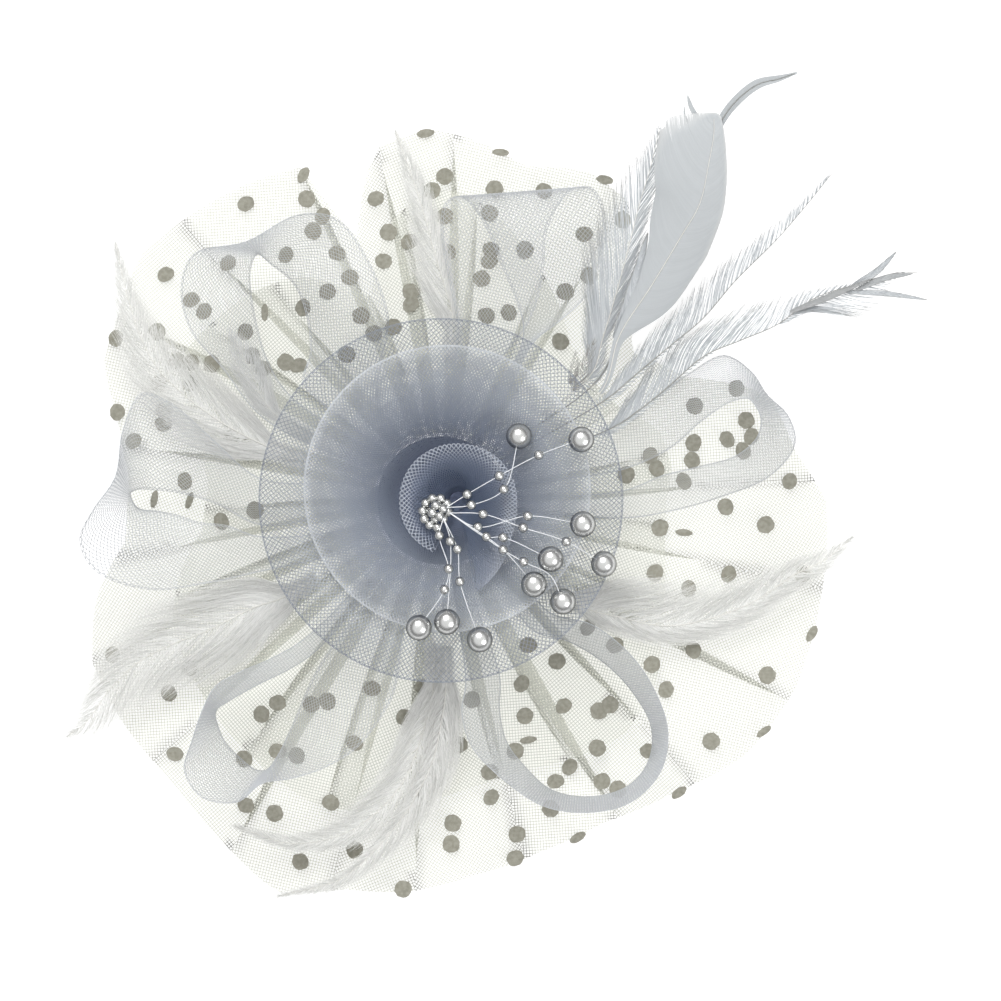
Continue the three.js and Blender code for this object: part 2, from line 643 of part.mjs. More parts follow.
// The lower and the free edge of a loop, as two curves that run side by side
function braidEdges(loop) {
  const low = [];
  const free = [];
  const add = ([a, b]) => {
    low.push(a);
    free.push(b);
  };
  add(braidRoot(loop, loop.rootOut, loop.rootBack));
  for (const [east, north, up, acrossEast, acrossNorth, acrossUp] of loop.rows) {
    const foot = new THREE.Vector3(
      east * loop.reach, north * loop.reach, rootZ + wall / 2 + up * braidRise);
    const across = new THREE.Vector3(acrossEast, acrossNorth, acrossUp);
    add([foot, foot.clone().addScaledVector(across, braidWidth)]);
  }
  add(braidRoot(loop, loop.rootBack, loop.rootOut));
  return [new THREE.CatmullRomCurve3(low), new THREE.CatmullRomCurve3(free)];
}

function loopGeometry(loop) {
  const [low, free] = braidEdges(loop);
  const steps = 2 * (loop.rows.length + 1);
  const grid = [];
  for (let i = 0; i <= steps; i += 1) {
    const a = low.getPoint(i / steps);
    const b = free.getPoint(i / steps);
    grid.push([a, b]);
  }
  return wallAbout(grid, wall);
}

function featherGeometry(feather) {
  const { reach, vane, rows } = feather;
  const rootHalf = quillWidth / 2;
  const places = [polar(quillRootRadius, feather.root, rootZ + wall / 2)];
  const widths = [new THREE.Vector3(rootHalf, rootHalf, 0)];
  for (const [east, north, up, left, right] of rows) {
    places.push(new THREE.Vector3(east * reach, north * reach, rootZ + wall / 2 + up * plumeRise));
    widths.push(new THREE.Vector3(
      Math.max(rootHalf, left * vane), Math.max(rootHalf, right * vane), 0));
  }
  const quill = new THREE.CatmullRomCurve3(places);
  const vanes = new THREE.CatmullRomCurve3(widths);
  const steps = 2 * rows.length;
  const grid = [];
  for (let i = 0; i <= steps; i += 1) {
    const p = quill.getPoint(i / steps);
    const way = quill.getTangent(i / steps);
    const left = new THREE.Vector3(-way.y, way.x, 0).normalize();
    const half = vanes.getPoint(i / steps);
    grid.push([
      p.clone().addScaledVector(left, half.x), p, p.clone().addScaledVector(left, -half.y)]);
  }
  return wallAbout(grid, wall);
}

function dishHeight(radius, flatRadius, rimRadius, depth, bend) {
  const share = Math.max(0, (radius - flatRadius) / (rimRadius - flatRadius));
  return depth * share ** bend;
}

// Underside of the outer dish, with its rim waving a little
function outerHeight(x, y) {
  const radius = Math.hypot(x, y);
  const wave = outerRuffle * Math.sin(outerWaves * Math.atan2(y, x)) * (radius / outerRadius) ** 3;
  return outerZ + dishHeight(radius, outerFlatRadius, outerRadius, outerDepth, outerBend) + wave;
}

function innerHeight(x, y) {
  const radius = Math.hypot(x - innerEast, y - innerNorth);
  return innerZ + dishHeight(radius, innerFlatRadius, innerRadius, innerDepth, innerBend);
}

function dishGeometry(rimRadius, flatRadius, east, north, heightOf) {
  const spokes = [];
  for (let i = 0; i < roundSides; i += 1) {
    spokes.push(dishRings.map((ring) => {
      const p = polar(THREE.MathUtils.lerp(flatRadius, rimRadius, ring), 360 * i / roundSides, 0);
      p.x += east;
      p.y += north;
      return p.setZ(heightOf(p.x, p.y));
    }));
  }
  return roundSheet(spokes, wall);
}

// A point of the heart's wall: along its roll by the row's numbers, and up it by a share
function heartPoint(bearing, out, up, share) {
  const radius = THREE.MathUtils.lerp(heartFootRadius, out * heartRadius, share ** heartFlare);
  const p = polar(radius, bearing, heartZ + wall / 2 + up * heartHeight * share ** heartSwell);
  p.x += heartEast;
  return p;
}

function heartGeometry() {
  const turns = new THREE.CatmullRomCurve3(
    heartRoll.map(({ bearing, out, up }) => new THREE.Vector3(toRadians(bearing), out, up)));
  const steps = 2 * (heartRoll.length - 1);
  const grid = [];
  for (let i = 0; i <= steps; i += 1) {
    const { x, y, z } = turns.getPoint(i / steps);
    const bearing = THREE.MathUtils.radToDeg(x);
    grid.push(heartLevels.map((level) => heartPoint(bearing, y, z, level)));
  }
  return wallAbout(grid, wall);
}

// Height of a pearl's centre when it lies on the flower, felt for under rings of its underside
function pearlHeight(x, y) {
  const radius = pearlDiameter / 2;
  const seat = 2 * gap;
  const bearings = 16;
  let height = 0;
  for (const ring of [0, 0.35, 0.65, 0.9, 1]) {
    for (let side = 0; side < bearings; side += 1) {
      const p = polar(ring * radius, 360 * side / bearings, 0);
      const px = x + p.x;
      const py = y + p.y;
      const rise = radius * Math.sqrt(1 - ring ** 2) + wall + seat;
      if (Math.hypot(px, py) < outerRadius) height = Math.max(height, outerHeight(px, py) + rise);
      const onInner = Math.hypot(px - innerEast, py - innerNorth) < innerRadius;
      if (onInner) height = Math.max(height, innerHeight(px, py) + rise);
    }
  }
  return height;
}

function pearlCentre(index) {
  const [x, y] = pearlPlaces[index].map((share) => share * outerRadius);
  return new THREE.Vector3(x, y, pearlHeight(x, y));
}

function ball(diameter, centre, sides, bands) {
  const sphere = new THREE.SphereGeometry(diameter / 2, sides, bands);
  sphere.rotateX(Math.PI / 2);
  sphere.translate(centre.x, centre.y, centre.z);
  return sphere;
}

function pearlGeometry(index) {
  return ball(pearlDiameter, pearlCentre(index), pearlSides, pearlBands);
}

function threadAlong(curve, steps) {
  const section = new THREE.Shape();
  for (let side = 0; side <= threadSides; side += 1) {
    const p = polar(threadDiameter / 2, side * 360 / threadSides, 0);
    if (side === 0) section.moveTo(p.x, p.y);
    else section.lineTo(p.x, p.y);
  }
  return new THREE.ExtrudeGeometry(section, { steps, bevelEnabled: false, extrudePath: curve });
}

function sprayPoint([east, north, up]) {
  return new THREE.Vector3(east, north, sprayZ + up);
}

// One thread from the knot to just short of its pearl, with its seed beads
function threadPieces(thread, knot) {
  const centre = pearlCentre(thread.pearl);
  const points = thread.points.map(sprayPoint);
  const last = points[points.length - 1];
  const back = last.clone().sub(centre).setLength(pearlDiameter / 2 + gap);
  const curve = new THREE.CatmullRomCurve3(
    [sprayPoint(knot), ...points, centre.clone().add(back)]);
  const pieces = [threadAlong(curve, 2 * (points.length + 1))];
  for (const index of thread.beads) {
    pieces.push(ball(seedDiameter, points[index], seedSides, seedBands));
  }
  return pieces;
}

function sprayGeometry(spray) {
  return fuse(spray.threads.flatMap((thread) => threadPieces(thread, spray.knot)));
}

// Height of a seed bead's centre when it lies on the heart's wall
function seedHeight(x, y) {
  const radius = Math.hypot(x - heartEast, y) + seedDiameter / 2;
  const reach = (radius - heartFootRadius) / (heartRadius - heartFootRadius);
  const share = Math.max(0, reach) ** (1 / heartFlare);
  return heartZ + wall + heartHeight * share ** heartSwell + seedDiameter / 2 + gap;
}

// Seed beads wound in a flat spiral across the heart's throat, as low as its wall lets them lie
function clusterGeometry() {
  const places = [];
  let angle = 90;
  let radius = clusterStart;
  for (let bead = 0; bead < clusterBeads; bead += 1) {
    const p = polar(radius, angle, 0);
    places.push([p.x + clusterEast, p.y + clusterNorth]);
    const turn = THREE.MathUtils.radToDeg(clusterPitch / radius);
    angle += turn;
    radius += clusterPitch * turn / 360;
  }
  const height = Math.max(...places.map(([x, y]) => seedHeight(x, y)));
  return fuse(places.map(
    ([x, y]) => ball(seedDiameter, new THREE.Vector3(x, y, height), seedSides, clusterBands)));
}

const assembly = new THREE.Group();

function addPiece(name, geometry, colour, roughness, metalness = 0) {
  const material = new THREE.MeshStandardMaterial({ color: colour, roughness, metalness });
  const mesh = new THREE.Mesh(geometry, material);
  mesh.name = name;
  assembly.add(mesh);
}

const steelGrey = 0x9a9da3;
const feltBlue = 0x56627e;
const tulleWhite = 0xe9ebe6;
const braidBlue = 0xa9b1c2;
const flowerBlue = 0x6a7690;
const featherBlue = 0xaab4c4;
const featherPale = 0xd3d6d4;
const pearlSilver = 0xd8d8d6;

addPiece('hair_clip', clipGeometry(), steelGrey, 0.35, 1);
addPiece('felt_disc', discGeometry(), feltBlue, 0.95);
addPiece('veil_lower', veilGeometry((fold) => fold.lower, lowerVeilHeight), tulleWhite, 0.8);
addPiece('veil_upper', veilGeometry((fold) => fold.upper, upperVeilHeight), tulleWhite, 0.8);
for (const loop of loops) addPiece(loop.name, loopGeometry(loop), braidBlue, 0.45);
for (const feather of feathers) {
  const lies = feather.rows.every(([, , up]) => up <= lyingRise);
  addPiece(feather.name, featherGeometry(feather), lies ? featherPale : featherBlue, 0.7);
}
addPiece('flower_outer', dishGeometry(outerRadius, outerFlatRadius, 0, 0, outerHeight), flowerBlue, 0.5);
addPiece('flower_inner',
  dishGeometry(innerRadius, innerFlatRadius, innerEast, innerNorth, innerHeight), flowerBlue, 0.5);
addPiece('flower_heart', heartGeometry(), flowerBlue, 0.5);
addPiece('bead_cluster', clusterGeometry(), pearlSilver, 0.2, 0.6);
for (const spray of sprays) addPiece(spray.name, sprayGeometry(spray), pearlSilver, 0.2, 0.6);
pearlPlaces.forEach((place, index) => {
  const number = String(index + 1).padStart(2, '0');
  addPiece(`pearl_${number}`, pearlGeometry(index), pearlSilver, 0.15, 0.6);
});

export default assembly;
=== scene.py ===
# A fascinator lying face up: a crin flower with sprays of pearls, looped crin braid, feathers and two
# ruffles of dotted tulle, on a felt disc and a hair clip.
# Sizes are in millimetres here and become metres where a mesh is made. Z is the flower's centre line.

import math

import bpy
import numpy as np
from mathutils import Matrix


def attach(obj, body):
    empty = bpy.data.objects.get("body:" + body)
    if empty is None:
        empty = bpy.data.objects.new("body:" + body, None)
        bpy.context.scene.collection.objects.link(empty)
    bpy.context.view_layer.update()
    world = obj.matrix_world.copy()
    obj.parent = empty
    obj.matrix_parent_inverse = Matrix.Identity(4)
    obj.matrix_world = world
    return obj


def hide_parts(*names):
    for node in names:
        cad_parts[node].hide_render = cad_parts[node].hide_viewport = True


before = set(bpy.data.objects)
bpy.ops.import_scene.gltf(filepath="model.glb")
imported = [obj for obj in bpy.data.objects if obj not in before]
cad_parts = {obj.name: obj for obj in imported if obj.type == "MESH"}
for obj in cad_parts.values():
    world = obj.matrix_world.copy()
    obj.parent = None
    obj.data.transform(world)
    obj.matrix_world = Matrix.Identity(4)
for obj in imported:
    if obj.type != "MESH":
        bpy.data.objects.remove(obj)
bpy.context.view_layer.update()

METRES = 0.001
rng = np.random.default_rng(11)

# Sizes shared with the solids
GAP = 0.3
WALL = 1.0
CLIP_HEIGHT = 6
DISC_RADIUS = 20
DISC_THICKNESS = 2
VEIL_REACH = 125
VEIL_HUB_RADIUS = DISC_RADIUS + 1
VEIL_REST = 0.4
VEIL_FOLD = 3.6
ROOT_RADIUS = 17
ROOT_WIDTH = 4.4
QUILL_ROOT_RADIUS = 21
PLUME_RISE = 36
BRAID_WIDTH = 38
BRAID_RISE = 36
OUTER_RADIUS = 56
OUTER_FLAT_RADIUS = 18
OUTER_DEPTH = 17.3
OUTER_BEND = 0.8
OUTER_RUFFLE = 0.8
OUTER_WAVES = 5
INNER_RADIUS = 44
INNER_FLAT_RADIUS = 8
INNER_DEPTH = 18
INNER_BEND = 0.9
INNER_EAST = 1.9
INNER_NORTH = 3.7
HEART_RADIUS = 17.4
HEART_FOOT_RADIUS = 3
HEART_HEIGHT = 18
HEART_EAST = 5.3
HEART_FLARE = 1.5
HEART_SWELL = 0.85
PEARL_DIAMETER = 8
SEED_DIAMETER = 3
CLUSTER_BEADS = 13
CLUSTER_PITCH = 2.5
CLUSTER_EAST = -1
CLUSTER_NORTH = -3.2
CLUSTER_START = 1.5

# Heights of the stack, each piece a gap above the one below
DISC_Z = CLIP_HEIGHT + GAP
LOWER_VEIL_Z = DISC_Z + DISC_THICKNESS + GAP
UPPER_VEIL_Z = LOWER_VEIL_Z + WALL + GAP
ROOT_Z = UPPER_VEIL_Z + WALL + GAP
OUTER_Z = ROOT_Z + WALL + GAP
INNER_Z = OUTER_Z + WALL + GAP
HEART_Z = INNER_Z + WALL + GAP
SPRAY_Z = max(OUTER_Z + OUTER_DEPTH, INNER_Z + INNER_DEPTH, HEART_Z + HEART_HEIGHT) + WALL

# Threads of the crin: diameter, spacing across them, how far they drift on the way back, length of one step,
# and half the gap between the two layers of a flattened tube, which rounds out at its rim and has RIM_LINES
# lines of thread along it
CRIN_THREAD = 0.18
CRIN_PITCH = 1.15
INNER_PITCH = 0.88
CRIN_DRIFT = 0.06
CRIN_STEP = 2.4
CRIN_LAYER = 0.4
RIM_LAYER = 0.6
RIM_PUFF = 0.3
RIM_LINES = 2
RIM_WEAVE = 0.2
HEART_RIM_LAYER = 0.7
HEART_RIM_PUFF = 0.2
HEART_LENGTH = 120
HEART_WIDTH = 24
SPRAY_THREAD = 0.27

# How far each family of thread lies off the middle of its band, as a share of the diameter, where the
# threads of the dishes and of the heart begin, how late a tube's layers part, as a power of the way out, its
# turn at the rim, and how far past the rim its first line lies, as a share of RIM_PUFF. A spray's thread has
# SPRAY_STEPS places for each point, and its last PEARL_LEAD ones give the way of the pearl's bore
THREAD_LIFT = 0.4
OUTER_CRIN_FOOT = 12
INNER_CRIN_FOOT = 6
HEART_CRIN_FOOT = 0.05
LAYER_FLARE = 6
HEART_LAYER_FLARE = 5
RIM_BEARINGS = (0, 35, 70, 110, 145, 180)
RIM_LINE_OUT = 0.6
SPRAY_STEPS = 12
PEARL_LEAD = 8

# Places along a loop of braid, the threads along its edges, and the shortest thread across it, as shares of
# its width, and the thinnest one where the band narrows, as a share of the diameter
BRAID_STEPS = 140
BRAID_EDGE_LINES = (0.0, 0.02)
SHORTEST_THREAD = 0.05
THINNEST_THREAD = 0.3

# Beads: diameter, hole, rings and sides. The ends of the bore are dimpled down to a share of the radius
PEARL_BEAD = (PEARL_DIAMETER, 0.9, 20, 36)
SEED_BEAD = (SEED_DIAMETER, 0.7, 9, 18)
BORE_DIMPLE = 0.8

# Places along a quill, along its round shaft, along a loose leaf and over the cap of the vane, and the
# radius of the shaft at its tip
QUILL_STEPS = 240
SHAFT_STEPS = 60
LEAF_STEPS = 80
CAP_STEPS = 14
SHAFT_TIP = 0.08

# Barbs: how much of the raggedness makes one longer, the least share of the way from the bare part to its
# tip where one is rooted, and how much it tapers. A leaf's outline is a half wave that begins at LEAF_BEGIN,
# raised to a power
BARB_LONGER = 0.4
BARB_ROOT = 0.3
BARB_TAPER = 0.8
LEAF_BEGIN = 0.12
LEAF_SWELL = 0.7

# The felt's rounded edge, and the corner between its flat and its side
FELT_EDGE = 0.6
FELT_CORNER = (0.15, 0.25)
FELT_SIDES = 64

# Seeds heaped on the cluster: bearings, distance from its middle, and rise
CROWN_BEARINGS = (20, 110, 200, 290)
CROWN_RADIUS = 1.8
CROWN_RISE = 2.0

# Tulle: mesh and thread, the net's turn on the cloth in degrees, its colours, and its turn from one panel to
# the next. PLEAT_TURN is how far a crease bulges, PLEAT_DEPTH the share of each pleat's depth that is used,
# PLEAT_LIFT the height of one layer over another, PLEAT_SECTION the crease's section, in shares out and up.
# The cloth has TULLE_ROWS places from hub to rim and a column about every COLUMN_STEP degrees
NET_PITCH = 0.9
NET_THREAD = 0.17
NET_BIAS = 32
TULLE_COLOUR = (0.62, 0.63, 0.57)
TULLE_HAZE = (0.962, 0.962, 0.945)
NET_TURN = 27
PLEAT_TURN = 0.35
PLEAT_DEPTH = 0.6
PLEAT_LIFT = 0.4
PLEAT_SECTION = ((0, 0), (0.7, 0.15), (1, 0.5), (0.7, 0.85), (0, 1))
TULLE_ROWS = 26
COLUMN_STEP = 2.5

# Flock dots: size, gap above the cloth and sides, then the least share of the width that shows, how far the
# long way strays in degrees, and how ragged the edge is
DOT_DIAMETER = 5.5
DOT_THICKNESS = 0.12
DOT_GAP = 0.1
DOT_SIDES = 18
DOT_SQUASH = 0.82
DOT_LEAN = 40
DOT_RAGGED = 0.06

# Pearls: the colour that faces the eye, and the painted shade where they turn away, which stands in for
# their darker reflection there
PEARL_COLOUR = (0.76, 0.765, 0.755)
PEARL_EDGE_SHADE = (0.45, 0.455, 0.45)

# The share of a barb's surface that lets light through
BARB_GLOW = 0.12

# Tones of the crin, as pairs of share and colour: the loops from the middle out to LOOP_TONE_REACH, the two
# dishes from the middle to the rim, and the heart up to its rim, with the spans that its tones take east and
# north. In the flower the tones darken towards its middle and down into the heart: painted shade of the
# throat.
# The pale band at the inner dish's rim and at the heart's rim is a painted highlight. The outer dish turns
# darker again at its rim
LOOP_TONE_REACH = 130
HEART_TONE_SPANS = (70, 200)
# Painted shade of the flower's throat, from the deepest to half shade
CRIN_SHADE_DEEP = (0.19, 0.24, 0.35)
CRIN_SHADE_DARK = (0.24, 0.28, 0.39)
CRIN_SHADE_HALF = (0.35, 0.395, 0.49)
LOOP_TONES = [(0.3, (0.58, 0.61, 0.65)), (0.55, (0.6, 0.62, 0.645)), (1, (0.54, 0.56, 0.585))]
# Outer dish: painted shade towards its middle, lighter further out, then darker again at the rim
OUTER_TONES_PAINTED_SHADE = [
    (0, CRIN_SHADE_DEEP), (0.22, CRIN_SHADE_DARK), (0.4, CRIN_SHADE_HALF), (0.62, (0.53, 0.57, 0.64)),
    (0.8, (0.54, 0.575, 0.62)), (0.9, (0.36, 0.39, 0.44)), (1, (0.28, 0.31, 0.37)),
]
# Inner dish: painted shade towards its middle and a painted highlight at its rim
INNER_TONES_PAINTED_LIGHT = [
    (0, CRIN_SHADE_DEEP), (0.28, CRIN_SHADE_DARK), (0.5, CRIN_SHADE_HALF), (0.8, (0.49, 0.53, 0.6)),
    (0.94, (0.52, 0.555, 0.61)), (0.985, (0.74, 0.77, 0.81)),
]
# Heart: painted shade down inside it and a painted highlight at its rim
HEART_TONES_PAINTED_LIGHT = [
    (0.5, (0.15, 0.19, 0.29)), (0.8, (0.2, 0.245, 0.345)), (0.91, (0.27, 0.315, 0.42)),
    (0.965, (0.38, 0.42, 0.52)), (1, (0.58, 0.62, 0.7)),
]

# The floor, which glows softly, and the light of the room from the horizon up. A softbox has its place, its
# size and its power
FLOOR_HALF = 3000
FLOOR_Z = -0.2
FLOOR_COLOUR = (0.4, 0.4, 0.4)
FLOOR_GLOW = 0.75
ROOM_HORIZON = (0.3, 0.3, 0.3)
ROOM_DARK = (0.16, 0.16, 0.16)
ROOM_BRIGHT = (0.8, 0.8, 0.8)
SOFTBOXES = {
    "softbox_north": ((-200, 1000, 1300), 900, 18),
    "softbox_south_east": ((900, -600, 1000), 700, 6.6),
}

# Camera: straight above, at the photo's scale
CAMERA_HEIGHT = 3000
CAMERA_EAST = 18.4
CAMERA_NORTH = 0
VIEW_WIDTH = 310.3
FOCUS_HEIGHT = 20
SENSOR = 36

# Ways that barbs grow, with lengths in millimetres. Vane: bare is how many of the quill's rows have none,
# foot the width at its root as a share of the vane, cap how far it goes on past the quill, slim the share of
# the width that is kept, least the width below which it has no barbs. Tips: pitch is their distance along
# the outline, uneven how far they stray, tuft the length of a tuft, gather how far they draw together in
# one. Barbs: sweep is how far back they are rooted as a multiple of the width, loose how much that varies,
# ragged how much their length varies, points the places along one, bow and straight how they bend, lift,
# droop and curl how they stray, sag and wave, width and tilt those of a barb. Quill is the shaft's radius
SMOOTH = {
    "bare": 1.0, "foot": 0, "cap": 2.0, "slim": 1.0, "least": 0, "pitch": 0.13, "uneven": 0.3, "tuft": 5,
    "gather": 0.0, "sweep": 1.6, "loose": 0.0, "ragged": 0.02, "points": 8, "bow": 1.3, "straight": 0,
    "lift": 0.05, "droop": 0.1, "curl": 0.0, "width": 0.55, "tilt": 0.04, "quill": 0.2,
}
CURL = {**SMOOTH, "cap": 1.0, "slim": 0.6, "sweep": 2.5}
LEAF = {**SMOOTH, "pitch": 0.12, "sweep": 4.0, "width": 0.25, "ragged": 0.2, "tilt": 0.15, "lift": 0.15}
TUFT = {**LEAF, "pitch": 0.5, "width": 0.16, "sweep": 3.0, "ragged": 0.5, "curl": 0.5}
HAIR = {
    "bare": 0.9, "foot": 0.2, "cap": 1.0, "slim": 1.0, "least": 0.6, "pitch": 0.29, "uneven": 1.0,
    "tuft": 1.5, "gather": 0.7, "sweep": 1.8, "loose": 0.05, "ragged": 0.25, "points": 8, "bow": 1.0,
    "straight": 0.8, "lift": 0.5, "droop": 0.02, "curl": 0.25, "width": 0.19, "tilt": 0.2, "quill": 0.2,
}
FAN = {**HAIR, "sweep": 2.8, "pitch": 0.26, "straight": 1, "foot": 0.4}
DOWNY = {
    "bare": 0.6, "foot": 0.3, "cap": 1.5, "slim": 1.0, "least": 0, "pitch": 0.11, "uneven": 1.0, "tuft": 4.3,
    "gather": 0.12, "sweep": 3.0, "loose": 0.3, "ragged": 0.4, "points": 10, "bow": 1.1, "straight": 0.2,
    "lift": 0.8, "droop": 0.0, "curl": 0.8, "width": 0.13, "tilt": 0.25, "quill": 0.18,
}

# Folds round the two ruffles: bearing, reach and height of fold of the lower one, then those of the upper
# one, as shares of VEIL_REACH and VEIL_FOLD
VEIL_FOLDS = [
    (0, 0.96, 0, 0.56, 0.3), (8, 0.89, 0.7, 0.58, 0), (18, 0.86, 0.1, 0.57, 0.4),
    (27, 0.68, 0.5, 0.5, 0.1), (38, 0.6, 0.2, 0.48, 0.3), (50, 0.72, 0.8, 0.5, 0),
    (58, 0.88, 0.1, 0.56, 0.5), (66, 0.9, 0.9, 0.62, 0.1), (76, 0.86, 0, 0.7, 0.6),
    (84, 0.9, 1, 0.76, 0), (92, 0.93, 0.1, 0.78, 0.6), (101, 0.89, 0.8, 0.7, 0.1),
    (109, 0.66, 0.2, 0.54, 0.4), (112, 0.9, 0.6, 0.56, 0.1), (122, 0.93, 0, 0.66, 0.6),
    (132, 0.95, 0.7, 0.7, 0), (141, 0.97, 0.1, 0.72, 0.6), (150, 0.93, 0.9, 0.74, 0.1),
    (158, 0.91, 0, 0.7, 0.5), (166, 0.83, 0.7, 0.62, 0), (176, 0.78, 0.1, 0.58, 0.5),
    (187, 0.79, 0.8, 0.6, 0.1), (196, 0.9, 0, 0.68, 0.6), (205, 0.96, 0.8, 0.74, 0),
    (215, 0.97, 0.1, 0.76, 0.6), (226, 0.97, 1, 0.78, 0.1), (237, 1.01, 0, 0.8, 0.6),
    (247, 1.06, 0.7, 0.82, 0), (256, 1, 0.1, 0.8, 0.5), (265, 0.98, 1, 0.76, 0.1),
    (275, 0.94, 0, 0.72, 0.6), (286, 0.91, 0.8, 0.7, 0), (297, 0.9, 0.1, 0.72, 0.6),
    (308, 0.93, 1, 0.74, 0.1), (320, 0.99, 0, 0.7, 0.5), (332, 1, 0.9, 0.62, 0),
    (344, 0.98, 0.1, 0.58, 0.5), (352, 0.97, 0.8, 0.56, 0.1),
]

